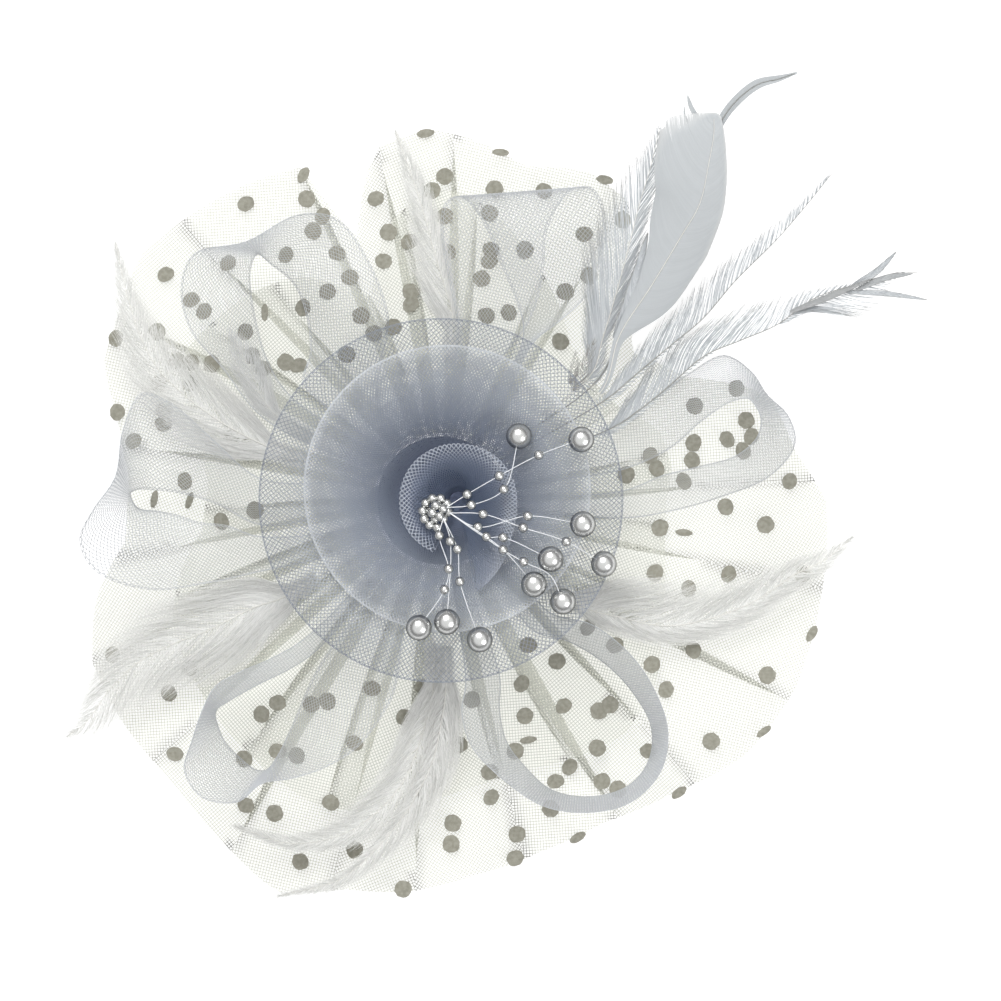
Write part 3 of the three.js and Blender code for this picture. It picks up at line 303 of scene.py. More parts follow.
# Loops of braid. A row is one place along the lower edge: east and north as shares of the reach and up as a
# share of BRAID_RISE, then the way across to the free edge, east, north and up, as shares of BRAID_WIDTH.
# root_out and root_back are the bearings of the two ends
LOOPS = [
    {"name": "loop_top_left", "reach": 102, "root_out": 149, "root_back": 128, "low_edge_inside": True,
     "rows": [
        (-0.46, 0.32, 0.06, -0.2, -0.2, 0.08), (-0.53, 0.43, 0.05, -0.37, -0.06, 0.3),
        (-0.56, 0.53, 0.04, -0.53, -0.04, 0.5), (-0.58, 0.64, 0.02, -0.55, 0, 0.67),
        (-0.58, 0.71, 0.01, -0.44, 0.09, 0.82), (-0.56, 0.75, 0.01, -0.07, 0.08, 0.93),
        (-0.52, 0.72, 0.01, 0.24, 0.38, 0.83), (-0.45, 0.66, 0.01, 0.37, 0.51, 0.68),
        (-0.41, 0.56, 0.01, 0.52, 0.43, 0.55), (-0.4, 0.45, 0.01, 0.64, 0.33, 0.38),
        (-0.42, 0.36, 0.02, 0.69, 0.4, 0.2), (-0.28, 0.23, 0.02, 0.24, 0.21, 0.09),
    ]},
    {"name": "loop_left", "reach": 111, "root_out": 178, "root_back": 198, "low_edge_inside": True,
     "rows": [
        (-0.27, -0.03, 0.01, 0, 0.23, 0.03), (-0.5, -0.07, 0.02, 0, 0.38, 0.12),
        (-0.63, -0.01, 0.02, -0.04, 0.55, 0.36), (-0.73, 0.02, 0.02, -0.07, 0.74, 0.54),
        (-0.81, 0.03, 0.02, -0.06, 0.78, 0.66), (-0.85, 0.03, 0.02, -0.09, 0.47, 0.88),
        (-0.87, 0.02, 0.02, -0.09, 0.13, 0.93), (-0.85, -0.02, 0.01, -0.33, -0.02, 0.89),
        (-0.79, -0.03, 0.01, -0.62, -0.24, 0.68), (-0.74, -0.04, 0, -0.64, -0.46, 0.53),
        (-0.68, -0.06, 0, -0.38, -0.55, 0.39), (-0.6, -0.07, 0, -0.16, -0.47, 0.26),
        (-0.51, -0.1, 0, 0, -0.29, 0.13), (-0.27, -0.08, 0, 0, -0.18, 0.04),
    ]},
    {"name": "loop_bottom_left", "reach": 113, "root_out": 224, "root_back": 246, "low_edge_inside": True,
     "rows": [
        (-0.2, -0.25, 0, -0.07, 0.07, 0.14), (-0.34, -0.41, 0.01, -0.08, 0.11, 0.36),
        (-0.41, -0.46, 0.01, -0.15, 0.09, 0.58), (-0.51, -0.51, 0.01, -0.13, 0.12, 0.79),
        (-0.58, -0.55, 0.01, -0.1, 0.13, 0.89), (-0.62, -0.58, 0.01, -0.07, 0.06, 0.95),
        (-0.61, -0.63, 0.01, -0.2, -0.08, 0.92), (-0.59, -0.67, 0.01, -0.32, -0.19, 0.87),
        (-0.55, -0.71, 0.01, -0.3, -0.29, 0.82), (-0.51, -0.74, 0.01, -0.13, -0.24, 0.84),
        (-0.48, -0.74, 0.01, -0.02, -0.09, 0.89), (-0.45, -0.7, 0.01, 0.12, -0.17, 0.84),
        (-0.42, -0.64, 0.01, 0.29, -0.27, 0.71), (-0.39, -0.57, 0.01, 0.47, -0.32, 0.53),
        (-0.36, -0.5, 0.01, 0.6, -0.25, 0.37), (-0.32, -0.43, 0.01, 0.58, -0.24, 0.21),
        (-0.19, -0.26, 0.01, 0.28, -0.11, 0.08),
    ]},
    {"name": "loop_bottom_right", "reach": 107, "root_out": 309, "root_back": 286, "low_edge_inside": True,
     "rows": [
        (0.19, -0.28, 0, 0.14, 0.1, 0.16), (0.27, -0.38, 0.01, 0.14, 0.15, 0.34),
        (0.37, -0.41, 0.01, 0.18, 0.15, 0.55), (0.47, -0.47, 0.01, 0.2, 0.09, 0.76),
        (0.55, -0.55, 0.01, 0.17, 0.04, 0.89), (0.61, -0.66, 0.01, 0.12, 0, 0.96),
        (0.6, -0.76, 0.01, 0.09, -0.05, 0.96), (0.54, -0.83, 0.01, 0.02, -0.1, 0.96),
        (0.43, -0.86, 0.01, 0, -0.1, 0.96), (0.32, -0.84, 0.01, -0.06, -0.11, 0.93),
        (0.25, -0.78, 0.01, -0.19, -0.07, 0.87), (0.19, -0.7, 0.01, -0.28, -0.03, 0.74),
        (0.17, -0.61, 0.01, -0.31, -0.01, 0.55), (0.17, -0.51, 0.01, -0.28, -0.03, 0.32),
        (0.11, -0.33, 0, -0.18, 0.01, 0.12),
    ]},
    {"name": "loop_right", "reach": 110, "root_out": 18, "root_back": 358, "low_edge_inside": False,
     "rows": [
        (0.3, 0.14, 0, 0.07, -0.24, 0.08), (0.48, 0.2, 0.01, 0.08, -0.33, 0.21),
        (0.59, 0.28, 0.02, 0.15, -0.39, 0.38), (0.7, 0.36, 0.04, 0.1, -0.39, 0.61),
        (0.8, 0.41, 0.04, 0.03, -0.39, 0.79), (0.88, 0.36, 0.02, -0.06, -0.22, 0.92),
        (0.92, 0.3, 0.01, -0.13, -0.09, 0.96), (0.98, 0.24, 0.01, -0.25, -0.02, 0.93),
        (1, 0.16, 0.01, -0.33, 0.06, 0.83), (0.93, 0.07, 0.01, -0.3, 0.16, 0.63),
        (0.79, 0.01, 0.01, -0.18, 0.25, 0.42), (0.65, -0.03, 0.01, -0.08, 0.29, 0.24),
        (0.52, -0.05, 0.01, 0, 0.23, 0.13), (0.33, -0.04, 0.01, 0, 0.15, 0.05),
    ]},
    {"name": "loop_top", "reach": 98, "root_out": 79, "root_back": 60, "low_edge_inside": False,
     "rows": [
        (0.03, 0.34, 0.08, 0.24, 0.05, 0.03), (0.05, 0.56, 0.26, 0.6, 0.04, 0),
        (0.02, 0.72, 0.43, 0.78, 0.02, 0), (0, 0.85, 0.56, 0.86, 0, 0.03),
        (0.01, 0.93, 0.62, 0.95, 0.03, 0.08), (0.05, 0.96, 0.45, 0.96, 0.06, 0.13),
        (0.09, 0.94, 0.2, 1.01, 0.11, 0.21), (0.14, 0.87, 0.06, 0.97, 0.11, 0.24),
        (0.19, 0.75, 0.02, 0.83, 0.12, 0.22), (0.24, 0.63, 0.01, 0.55, 0.03, 0.28),
        (0.26, 0.55, 0.01, 0.28, 0.03, 0.32), (0.25, 0.48, 0.01, 0.11, 0.05, 0.25),
        (0.16, 0.33, 0.01, 0.09, -0.04, 0.13),
    ]},
]

# Feathers. A row is one place along the quill: east and north as shares of the reach, up as a share of
# PLUME_RISE, then the width on the left and on the right as shares of the vane
FEATHERS = [
    {"name": "feather_fan", "reach": 125, "vane": 15, "root": 48, "rows": [
        (0.37, 0.31, 0.2, 0.04, 0.04), (0.4, 0.4, 0.27, 0.45, 0.12), (0.43, 0.5, 0.38, 0.66, 0.25),
        (0.46, 0.61, 0.46, 0.91, 0.29), (0.49, 0.73, 0.5, 0.74, 0.29), (0.52, 0.83, 0.54, 0.41, 0.25),
        (0.54, 0.92, 0.58, 0.04, 0.04),
    ]},
    {"name": "feather_curl", "reach": 160, "vane": 16, "root": 43.4, "rows": [
        (0.3, 0.23, 0.23, 0.04, 0.04), (0.36, 0.35, 0.31, 0.04, 0.04), (0.44, 0.51, 0.45, 0.04, 0.04),
        (0.51, 0.65, 0.62, 0.08, 0.08), (0.54, 0.73, 0.73, 0.14, 0.12), (0.57, 0.77, 0.81, 0.15, 0.15),
        (0.61, 0.8, 0.87, 0.17, 0.14), (0.65, 0.81, 0.92, 0.12, 0.08), (0.68, 0.82, 0.95, 0.03, 0.03),
    ]},
    {"name": "feather_blade", "reach": 145, "vane": 16, "root": 38.8, "rows": [
        (0.34, 0.23, 0.27, 0.04, 0.04), (0.38, 0.35, 0.4, 0.07, 0.1), (0.45, 0.46, 0.54, 0.26, 0.58),
        (0.51, 0.56, 0.65, 0.55, 0.62), (0.55, 0.63, 0.73, 0.86, 0.48), (0.57, 0.72, 0.79, 1.04, 0.35),
        (0.58, 0.78, 0.81, 1.03, 0.2), (0.58, 0.81, 0.81, 0.9, 0.14),
    ]},
    {"name": "feather_long_high", "reach": 165, "vane": 16, "root": 34.2, "rows": [
        (0.31, 0.19, 0.3, 0.1, 0), (0.37, 0.24, 0.34, 0.32, 0), (0.43, 0.29, 0.4, 0.48, 0),
        (0.49, 0.34, 0.45, 0.54, 0), (0.55, 0.41, 0.54, 0.45, 0), (0.63, 0.49, 0.62, 0.27, 0),
        (0.69, 0.56, 0.68, 0.12, 0), (0.73, 0.61, 0.73, 0.04, 0),
    ]},
    {"name": "feather_long_low", "reach": 160, "vane": 16, "root": 29.6, "rows": [
        (0.33, 0.14, 0.2, 0.1, 0), (0.39, 0.18, 0.24, 0.38, 0), (0.44, 0.22, 0.27, 0.55, 0),
        (0.51, 0.28, 0.31, 0.6, 0), (0.58, 0.31, 0.36, 0.58, 0), (0.65, 0.34, 0.4, 0.6, 0),
        (0.72, 0.39, 0.44, 0.2, 0.25), (0.81, 0.42, 0.48, 0, 0.75), (0.88, 0.44, 0.51, 0, 0.1),
        (0.92, 0.44, 0.52, 0, 0),
    ]},
    {"name": "feather_top", "reach": 118, "vane": 14, "root": 93, "rows": [
        (0.03, 0.48, -0.02, 0.04, 0.04), (0.01, 0.56, -0.02, 0.53, 0.18),
        (-0.02, 0.66, -0.02, 0.53, 0.31), (-0.05, 0.77, -0.02, 0.35, 0.31),
        (-0.09, 0.89, -0.02, 0.18, 0.22), (-0.12, 0.97, -0.02, 0.04, 0.04),
    ]},
    {"name": "feather_upper_left", "reach": 80, "vane": 14, "root": 161, "rows": [
        (-0.64, 0.33, -0.02, 0.04, 0.04), (-0.69, 0.39, -0.02, 0.2, 0.2),
        (-0.73, 0.48, -0.02, 0.33, 0.33), (-0.78, 0.58, -0.02, 0.35, 0.31),
        (-0.82, 0.66, -0.02, 0.07, 0.07),
    ]},
    {"name": "feather_left", "reach": 135, "vane": 14, "root": 167, "rows": [
        (-0.39, 0.12, -0.02, 0.04, 0.04), (-0.49, 0.17, -0.02, 0.58, 0.5),
        (-0.55, 0.21, -0.02, 0.8, 0.7), (-0.6, 0.25, -0.02, 0.84, 0.75), (-0.65, 0.3, -0.02, 0.75, 0.71),
        (-0.69, 0.37, -0.02, 0.62, 0.58), (-0.72, 0.46, -0.02, 0.35, 0.31),
        (-0.75, 0.59, -0.02, 0.04, 0.04),
    ]},
    {"name": "feather_lower_left", "reach": 138, "vane": 14, "root": 212, "rows": [
        (-0.36, -0.22, -0.02, 0.04, 0.04), (-0.42, -0.24, -0.02, 0.62, 0.53),
        (-0.52, -0.29, -0.02, 0.97, 0.93), (-0.62, -0.33, -0.02, 1.02, 0.97),
        (-0.69, -0.37, -0.02, 0.93, 0.8), (-0.75, -0.43, -0.02, 0.75, 0.58),
        (-0.8, -0.5, -0.02, 0.44, 0.31), (-0.84, -0.53, -0.02, 0.04, 0.04),
    ]},
    {"name": "feather_bottom_left", "reach": 130, "vane": 14, "root": 262, "rows": [
        (-0.02, -0.45, -0.02, 0.04, 0.04), (-0.04, -0.54, -0.02, 0.53, 0.44),
        (-0.09, -0.67, -0.02, 0.62, 0.53), (-0.16, -0.75, -0.02, 0.58, 0.49),
        (-0.24, -0.8, -0.02, 0.31, 0.4), (-0.36, -0.82, -0.02, 0.18, 0.22),
        (-0.49, -0.78, -0.02, 0.04, 0.04),
    ]},
    {"name": "feather_bottom", "reach": 135, "vane": 14, "root": 270, "rows": [
        (0.01, -0.44, 0.02, 0.04, 0.04), (0, -0.51, 0.02, 0.44, 0.4), (-0.02, -0.6, 0.02, 0.53, 0.2),
        (-0.07, -0.7, 0.02, 0.53, 0.16), (-0.13, -0.78, 0.02, 0.44, 0.16),
        (-0.23, -0.87, 0.01, 0.22, 0.13), (-0.37, -0.91, 0, 0.04, 0.04),
    ]},
    {"name": "feather_right", "reach": 130, "vane": 14, "root": 326, "rows": [
        (0.33, -0.25, -0.02, 0.04, 0.04), (0.43, -0.28, -0.02, 0.89, 0.35),
        (0.54, -0.3, -0.02, 0.97, 0.4), (0.65, -0.28, -0.02, 0.8, 0.44),
        (0.75, -0.24, -0.02, 0.58, 0.44), (0.84, -0.18, -0.02, 0.4, 0.35),
        (0.92, -0.14, -0.02, 0.27, 0.27), (0.98, -0.09, -0.02, 0.04, 0.04),
    ]},
]

# The heart's rolled rim: bearing, and distance out and height as shares of HEART_RADIUS and HEART_HEIGHT
HEART_ROLL = [
    (245, 0.97, 0.94), (212, 1, 0.98), (178, 1, 1), (145, 1, 1), (112, 0.98, 1), (80, 0.97, 1),
    (48, 0.99, 1), (18, 1, 1), (-10, 1.02, 0.98), (-36, 1.12, 0.95), (-60, 1.38, 0.9), (-79, 1.6, 0.84),
]

# Pearls: east and north as shares of OUTER_RADIUS
PEARL_PLACES = [
    (0.43, 0.355), (0.773, 0.336), (0.782, -0.13), (0.898, -0.35), (0.605, -0.323), (0.512, -0.462),
    (0.673, -0.557), (-0.121, -0.7), (0.034, -0.668), (0.214, -0.766),
]

# Sprays, in millimetres east, north and above SPRAY_Z. Each thread runs from the knot through its points
# to the pearl with that place in PEARL_PLACES, and has a seed at each of the points that beads lists
SPRAYS = [
    {"name": "bead_spray_upper", "knot": (1.6, -2.2, 1.5), "threads": [
        {"pearl": 1, "beads": [0, 1, 2], "points": [(8.1, 1.9, 0.9), (18, 7.6, 2.1), (30.2, 14, 2.7)]},
        {"pearl": 0, "beads": [0, 1], "points": [(9.4, -1.4, 0.5), (19.4, 3.4, 2.1)]},
    ]},
    {"name": "bead_spray_right", "knot": (2.6, -3.8, 1.5), "threads": [
        {"pearl": 3, "beads": [0, 1, 2], "points": [(13, -4.2, 0.9), (25.4, -8.4, 2.5), (38.7, -12.7, 2.9)]},
        {"pearl": 2, "beads": [0, 1], "points": [(11.4, -8.2, 0.7), (26.8, -4.8, 2.7)]},
        {"pearl": 4, "beads": [0, 1], "points": [(14, -11.2, 1.1), (19.2, -11.4, 1.9)]},
        {"pearl": 6, "beads": [0, 1], "points": [(19.2, -15.2, 1.9), (25.5, -18.9, 2.9), (33.6, -23, 2.9)]},
        {"pearl": 5, "beads": [], "points": [(19.2, -15.2, 1.9)]},
    ]},
    {"name": "bead_spray_lower", "knot": (0.8, -5.4, 1.5), "threads": [
        {"pearl": 7, "beads": [0, 1, 2],
         "points": [(-0.5, -10.8, 0.9), (2.4, -21.1, 1.7), (1.1, -27.5, 2.1)]},
        {"pearl": 8, "beads": [0], "points": [(2.9, -12.6, 1.3)]},
        {"pearl": 9, "beads": [0, 1], "points": [(5.1, -15, 1.1), (5.9, -25, 1.5)]},
    ]},
]

# Pleats of the two ruffles: bearing of the crease, how far the cloth turns back at the hub in degrees, and
# the share of the reach where the pleat has opened flat
LOWER_PLEATS = [
    (3, 6, 0.6), (27, 7, 0.5), (58, 6, 0.7), (88, 8, 0.95), (100, 7, 0.9), (113, 9, 0.97), (133, 7, 0.8),
    (150, 9, 0.9), (170, 7, 0.85), (190, 8, 0.75), (205, 6, 0.9), (222, 8, 0.8), (239, 9, 0.95),
    (254, 6, 0.7), (266, 8, 0.9), (283, 6, 0.7), (299, 10, 0.96), (312, 6, 0.7), (330, 9, 0.97),
    (347, 6, 0.6),
]
UPPER_PLEATS = [
    (12, 6, 0.8), (38, 7, 0.7), (66, 6, 0.9), (83, 7, 0.95), (97, 6, 0.9), (109, 8, 0.95), (128, 7, 0.8),
    (143, 6, 0.95), (163, 8, 0.9), (182, 6, 0.8), (200, 7, 0.95), (216, 6, 0.85), (232, 8, 0.9),
    (249, 6, 0.95), (263, 7, 0.8), (281, 6, 0.9), (296, 8, 0.95), (311, 6, 0.8), (334, 7, 0.9),
    (354, 6, 0.7),
]

# Flock dots: east and north of the flower's centre
DOTS = [
    (-61, 92.5), (-42, 94), (-86, 70.5), (-101.5, 50.5), (-43, 60), (-66.5, 74), (-78, 62.5), (-74, 59),
    (-61, 52.5), (-59, 45), (-55.5, 41), (-48.5, 43), (-44.5, 42), (-40, 84), (-37, 88.5), (-48.5, 76.5),
    (-32.5, 77), (-28.5, 69.5), (-35.5, 65), (-25, 57.5), (-21, 52), (-15, 54), (-29.5, 45.5),
    (-88.5, 52.5), (-82.5, 43.5), (-78, 43), (-71.5, 42.5), (-78, 36.5), (-88, 36.5), (-86.5, 28),
    (-86.5, 24), (-96, 18.5), (-101, 27.5), (-80, 6), (-68.5, -6.5), (-58, -3), (-65.5, 19.5),
    (-102.5, -48), (-85, -60), (-78.5, -52), (-83, -79), (-56, -66.5), (-51, -63), (-61.5, -80.5),
    (-51, -78), (-45, -79.5), (-21.5, -58.5), (-27, -75.5), (-40.5, -63.5), (-35.5, -62.5), (-52, -97.5),
    (-61, -95), (-34.5, -94), (-44, -112.5), (-27, -109), (-2, -87), (3.5, -100.5), (3, -107),
    (-12, -121), (-11.5, -67.5), (-5.5, -58), (5.5, -76), (23, -111.5), (23.5, -104), (15.5, -92.5),
    (15, -84.5), (9.5, -62), (25, -57), (27, -45), (36, -50), (26, -67), (38, -64), (49, -65.5),
    (52.5, -63.5), (48.5, -77), (50, -87.5), (40, -83), (35.5, -87.5), (23, -78), (34, -96),
    (45.5, -39.5), (54, -45), (65.5, -51), (70, -59), (64.5, -78), (55, -90), (78.5, -46.5), (68, -8.5),
    (66.5, -22.5), (89.5, -23), (77, -27.5), (101, -7.5), (88.5, -2), (108.5, 6), (112.5, -23), (92, 35),
    (79, 29.5), (95, 25), (96.5, 20), (89, 19), (94, 15.5), (78, 12.5), (78.5, 18), (65, 14), (67, 10),
    (75.5, 6), (57.5, 8), (37, 49.5), (38.5, 65), (46, 70), (32, 96.5), (56.5, 87.5), (26, 78),
    (44.5, 83), (15.5, 78), (15, 74.5), (12.5, 69), (15, 89.5), (16.5, 97), (1, 101), (-3, 96.5),
    (-20.5, 94), (-16.5, 83.5), (-10, 80.5), (-18, 74.5), (1, 88.5), (2, 77.5), (-9.5, 65), (-9.5, 61),
    (14, 57.5), (21, 58.5), (101.5, -54.5), (84, -75),
]

# Dots seen on steep folds and at cut edges: east, north, width as a share of the diameter, and the bearing
# of the long way
NARROW_DOTS = [
    (115.5, -41.5, 0.5, 60), (100.5, -72, 0.4, 35), (-43, 101.5, 0.6, 60), (-55, 58.5, 0.4, 90),
    (-89.5, 0.5, 0.4, 80), (-78.5, 0, 0.4, 70), (27, -74.5, 0.4, 10), (42.5, -105, 0.5, 30),
    (75.5, -10, 0.4, 175), (74, -91, 0.5, 35), (51, 100, 0.5, 170), (18.5, 108.5, 0.4, 175),
    (-5, 114.5, 0.5, 10),
]

# Parts of feathers that stand away from the vane: half the width, how much of the tip's tone they have, and
# points east and north of the flower's centre and up as a share of PLUME_RISE
LEAVES = [
    {"of": "feather_long_low", "half_width": 0.9, "tip": 0.85,
     "points": [(108, 58.3, 0.44), (120.6, 63.2, 0.5), (133, 68.5, 0.55)]},
    {"of": "feather_long_low", "half_width": 1, "tip": 0,
     "points": [(126.8, 66, 0.5), (134.5, 70.7, 0.54), (140.7, 76.9, 0.58)]},
    {"of": "feather_long_low", "half_width": 0.9, "tip": 0.8,
     "points": [(128.3, 65.1, 0.5), (137.6, 68.8, 0.53), (146, 70.1, 0.55)]},
    {"of": "feather_long_low", "half_width": 0.8, "tip": 0,
     "points": [(125.2, 64.5, 0.49), (137.6, 63.9, 0.5), (150.4, 62, 0.5)]},
    {"of": "feather_blade", "half_width": 0.7, "tip": 0,
     "points": [(80.3, 116, 0.76), (77.2, 121, 0.78), (75.9, 125, 0.8)]},
    {"of": "feather_blade", "half_width": 0.3, "tip": 0,
     "points": [(77, 115, 0.76), (75.2, 118.5, 0.77), (75, 121.5, 0.78)]},
    {"of": "feather_fan", "half_width": 1.7, "tip": 0,
     "points": [(53.9, 50.2, 0.36), (59.2, 65.1, 0.5), (64, 83, 0.56)]},
    {"of": "feather_fan", "half_width": 2.2, "tip": 1,
     "points": [(41, 34, 0.3), (44.5, 42, 0.33), (48, 51, 0.37)]},
    {"of": "feather_fan", "half_width": 1.5, "tip": 1,
     "points": [(40, 36, 0.3), (41.2, 41.5, 0.33), (41.8, 47, 0.35)]},
]


def centripetal(points, count):
    """Places along the smooth curve through these points, even in its own parameter."""
    p = np.asarray(points, float)
    p = np.vstack([2 * p[0] - p[1], p, 2 * p[-1] - p[-2]])
    spans = len(p) - 3
    t = np.linspace(0, spans, count)
    i = np.minimum(t.astype(int), spans - 1)
    w = (t - i)[:, None]
    a, b, c, d = p[i], p[i + 1], p[i + 2], p[i + 3]
    d0 = np.sqrt(np.linalg.norm(b - a, axis=1))[:, None]
    d1 = np.sqrt(np.linalg.norm(c - b, axis=1))[:, None]
    d2 = np.sqrt(np.linalg.norm(d - c, axis=1))[:, None]
    m1 = ((b - a) / d0 - (c - a) / (d0 + d1) + (c - b) / d1) * d1
    m2 = ((c - b) / d1 - (d - b) / (d1 + d2) + (d - c) / d2) * d1
    return b + m1 * w + (3 * (c - b) - 2 * m1 - m2) * w ** 2 + (2 * (b - c) + m1 + m2) * w ** 3


def polar(radius, bearing, z=0.0):
    angle = math.radians(bearing)
    return np.array([radius * math.cos(angle), radius * math.sin(angle), z])


def unit(vectors):
    length = np.linalg.norm(vectors, axis=-1, keepdims=True)
    return vectors / np.maximum(length, 1e-9)


def between(rows, keys, at):
    """Columns of a table, read between its rows by the first column."""
    first = [row[0] for row in rows]
    return [np.interp(at, first, [row[k] for row in rows]) for k in keys]


def new_piece(name, verts, faces, material, nodes=(), smooth=True):
    """A mesh on the one body, with its material and the nodes that it takes the place of."""
    mesh = bpy.data.meshes.new(name)
    mesh.from_pydata((np.asarray(verts) * METRES).tolist(), [], faces)
    mesh.materials.append(material)
    mesh.polygons.foreach_set("use_smooth", [smooth] * len(mesh.polygons))
    piece = bpy.data.objects.new(name, mesh)
    bpy.context.scene.collection.objects.link(piece)
    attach(piece, "root")
    if nodes:
        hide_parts(*nodes)
    return piece


def join(parts):
    """One list of points and one of faces from several pairs of them."""
    verts, faces, start = [], [], 0
    for part_verts, part_faces in parts:
        verts.append(part_verts)
        faces.extend([[corner + start for corner in face] for face in part_faces])
        start += len(part_verts)
    return np.vstack(verts), faces


def tubes(paths, radii, sides=3):
    """Closed tubes along paths of points. The radius is one number, or a list for each path."""
    verts, faces, start = [], [], 0
    by_count = {}
    for index, path in enumerate(paths):
        by_count.setdefault(len(path), []).append(index)
    turn = np.arange(sides) * 2 * math.pi / sides
    lean = np.array([0.31, 0.17, 0.93])
    for count, group in by_count.items():
        p = np.array([paths[index] for index in group])
        size = [radii[index] if isinstance(radii, list) else radii for index in group]
        size = np.array([np.broadcast_to(value, count) for value in size])[:, :, None, None]
        along = unit(np.gradient(p, axis=1))
        side = unit(np.cross(along, lean))[:, :, None]
        other = np.cross(along, side[:, :, 0])[:, :, None]
        ring = np.cos(turn)[:, None] * side + np.sin(turn)[:, None] * other
        verts.append((p[:, :, None] + size * ring).reshape(-1, 3))
        first = start + np.arange(len(group)) * count * sides
        base = first[:, None] + np.arange(count - 1) * sides
        for k in range(sides):
            n = (k + 1) % sides
            quads = np.stack([base + k, base + n, base + sides + n, base + sides + k], -1)
            faces.extend(quads.reshape(-1, 4).tolist())
        last = first + (count - 1) * sides
        faces.extend((first[:, None] + np.arange(sides)[::-1]).tolist())
        faces.extend((last[:, None] + np.arange(sides)).tolist())
        start += len(group) * count * sides
    return np.vstack(verts), faces


def ribbons(paths, normals, half_widths):
    """Flat tapering strips along paths: arrays of strip by point, with the way each point faces."""
    count, points = paths.shape[:2]
    along = unit(np.gradient(paths, axis=1))
    across = unit(np.cross(along, normals)) * half_widths[..., None]
    verts = np.stack([paths - across, paths + across], 2).reshape(-1, 3)
    base = (np.arange(count)[:, None] * points + np.arange(points - 1)) * 2
    faces = np.stack([base, base + 1, base + 3, base + 2], -1).reshape(-1, 4).tolist()
    return verts, faces


def grid_faces(rows, columns):
    """Four-sided faces between the points of a grid."""
    base = np.arange(rows - 1)[:, None] * columns + np.arange(columns - 1)
    return np.stack([base, base + columns, base + columns + 1, base + 1], -1).reshape(-1, 4).tolist()


def lathe(profile, sides):
    """A closed round body about Z from (radius, height) pairs that start and end on the axis."""
    turn = np.arange(sides) * 2 * math.pi / sides
    verts = [(0, 0, profile[0][1])]
    for radius, height in profile[1:-1]:
        verts.extend(zip(radius * np.cos(turn), radius * np.sin(turn), [height] * sides))
    verts.append((0, 0, profile[-1][1]))
    faces = []
    top = len(verts) - 1
    for k in range(sides):
        n = (k + 1) % sides
        faces.append([0, 1 + n, 1 + k])
        for ring in range(len(profile) - 3):
            a = 1 + ring * sides
            faces.append([a + k, a + n, a + sides + n, a + sides + k])
        last = 1 + (len(profile) - 3) * sides
        faces.append([last + k, last + n, top])
    return np.array(verts, float), faces


def new_material(name, colour, roughness, metallic=0.0, sheen=0.0, coat=0.0):
    material = bpy.data.materials.new(name)
    material.use_nodes = True
    shader = material.node_tree.nodes["Principled BSDF"]
    shader.inputs["Base Color"].default_value = (*colour, 1)
    shader.inputs["Roughness"].default_value = roughness
    shader.inputs["Metallic"].default_value = metallic
    shader.inputs["Sheen Weight"].default_value = sheen
    shader.inputs["Coat Weight"].default_value = coat
    return material, material.node_tree, shader


def add_node(tree, kind, inputs=(), **settings):
    """A shader node with its settings. An input is a value, or another node's output to join."""
    node = tree.nodes.new("ShaderNode" + kind)
    for name, value in settings.items():
        setattr(node, name, value)
    for key, value in dict(inputs).items():
        if isinstance(value, bpy.types.NodeSocket):
            tree.links.new(value, node.inputs[key])
        else:
            node.inputs[key].default_value = value
    return node


def calculate(tree, kind, operation, *values):
    """A node of arithmetic, Math or VectorMath, on values or outputs."""
    return add_node(tree, kind, dict(enumerate(values)), operation=operation)


def colour_ramp(tree, stops, share):
    """Colours by share, from (share, colour) pairs."""
    ramp = add_node(tree, "ValToRGB", {"Fac": share})
    elements = ramp.color_ramp.elements
    while len(elements) < len(stops):
        elements.new(0.5)
    for element, (place, colour) in zip(elements, stops):
        element.position = place
        element.color = (*colour, 1)
    return ramp.outputs["Color"]


def noise(tree, scale, detail):
    """Cloudy noise that is fixed to the piece."""
    place = add_node(tree, "TexCoord").outputs["Object"]
    return add_node(tree, "TexNoise", {"Vector": place, "Scale": scale, "Detail": detail}).outputs["Fac"]


def mottle(tree, shader, dark, light, scale):
    """Colour that drifts between two tones over the surface."""
    tone = colour_ramp(tree, [(0.35, dark), (0.65, light)], noise(tree, scale, 3))
    tree.links.new(tone, shader.inputs["Base Color"])


def bumpy(tree, shader, scale, strength, distance):
    """Fine relief in the surface."""
    grain = noise(tree, scale, 4)
    bump = add_node(tree, "Bump", {"Strength": strength, "Distance": distance, "Height": grain})
    tree.links.new(bump.outputs["Normal"], shader.inputs["Normal"])


def mix_surface(tree, share, one, other):
    """The material's surface: one shader, and a share of the other."""
    mix = add_node(tree, "MixShader", {0: share, 1: one.outputs[0], 2: other.outputs[0]})
    tree.links.new(mix.outputs[0], tree.nodes["Material Output"].inputs["Surface"])


def set_uv(piece, values):
    """Flat coordinates: a pair for each corner of each face."""
    layer = piece.data.uv_layers.new(name="flat")
    layer.data.foreach_set("uv", np.asarray(values).ravel())


def crin_material(name, scale, stops, middle=(0, 0, 0)):
    """Braid whose tone follows its place, scaled to shares: out from the middle, or from the foot up. In the
    flower's tables that tone is painted shade and painted highlight.
    """
    material, tree, shader = new_material(name, stops[-1][1], 0.28, coat=0.2)
    place = add_node(tree, "TexCoord").outputs["Object"]
    moved = calculate(tree, "VectorMath", "SUBTRACT", place, [value * METRES for value in middle])
    scaled = calculate(tree, "VectorMath", "MULTIPLY", moved.outputs[0], [value / METRES for value in scale])
    length = calculate(tree, "VectorMath", "LENGTH", scaled.outputs[0])
    tree.links.new(colour_ramp(tree, stops, length.outputs["Value"]), shader.inputs["Base Color"])
    return material


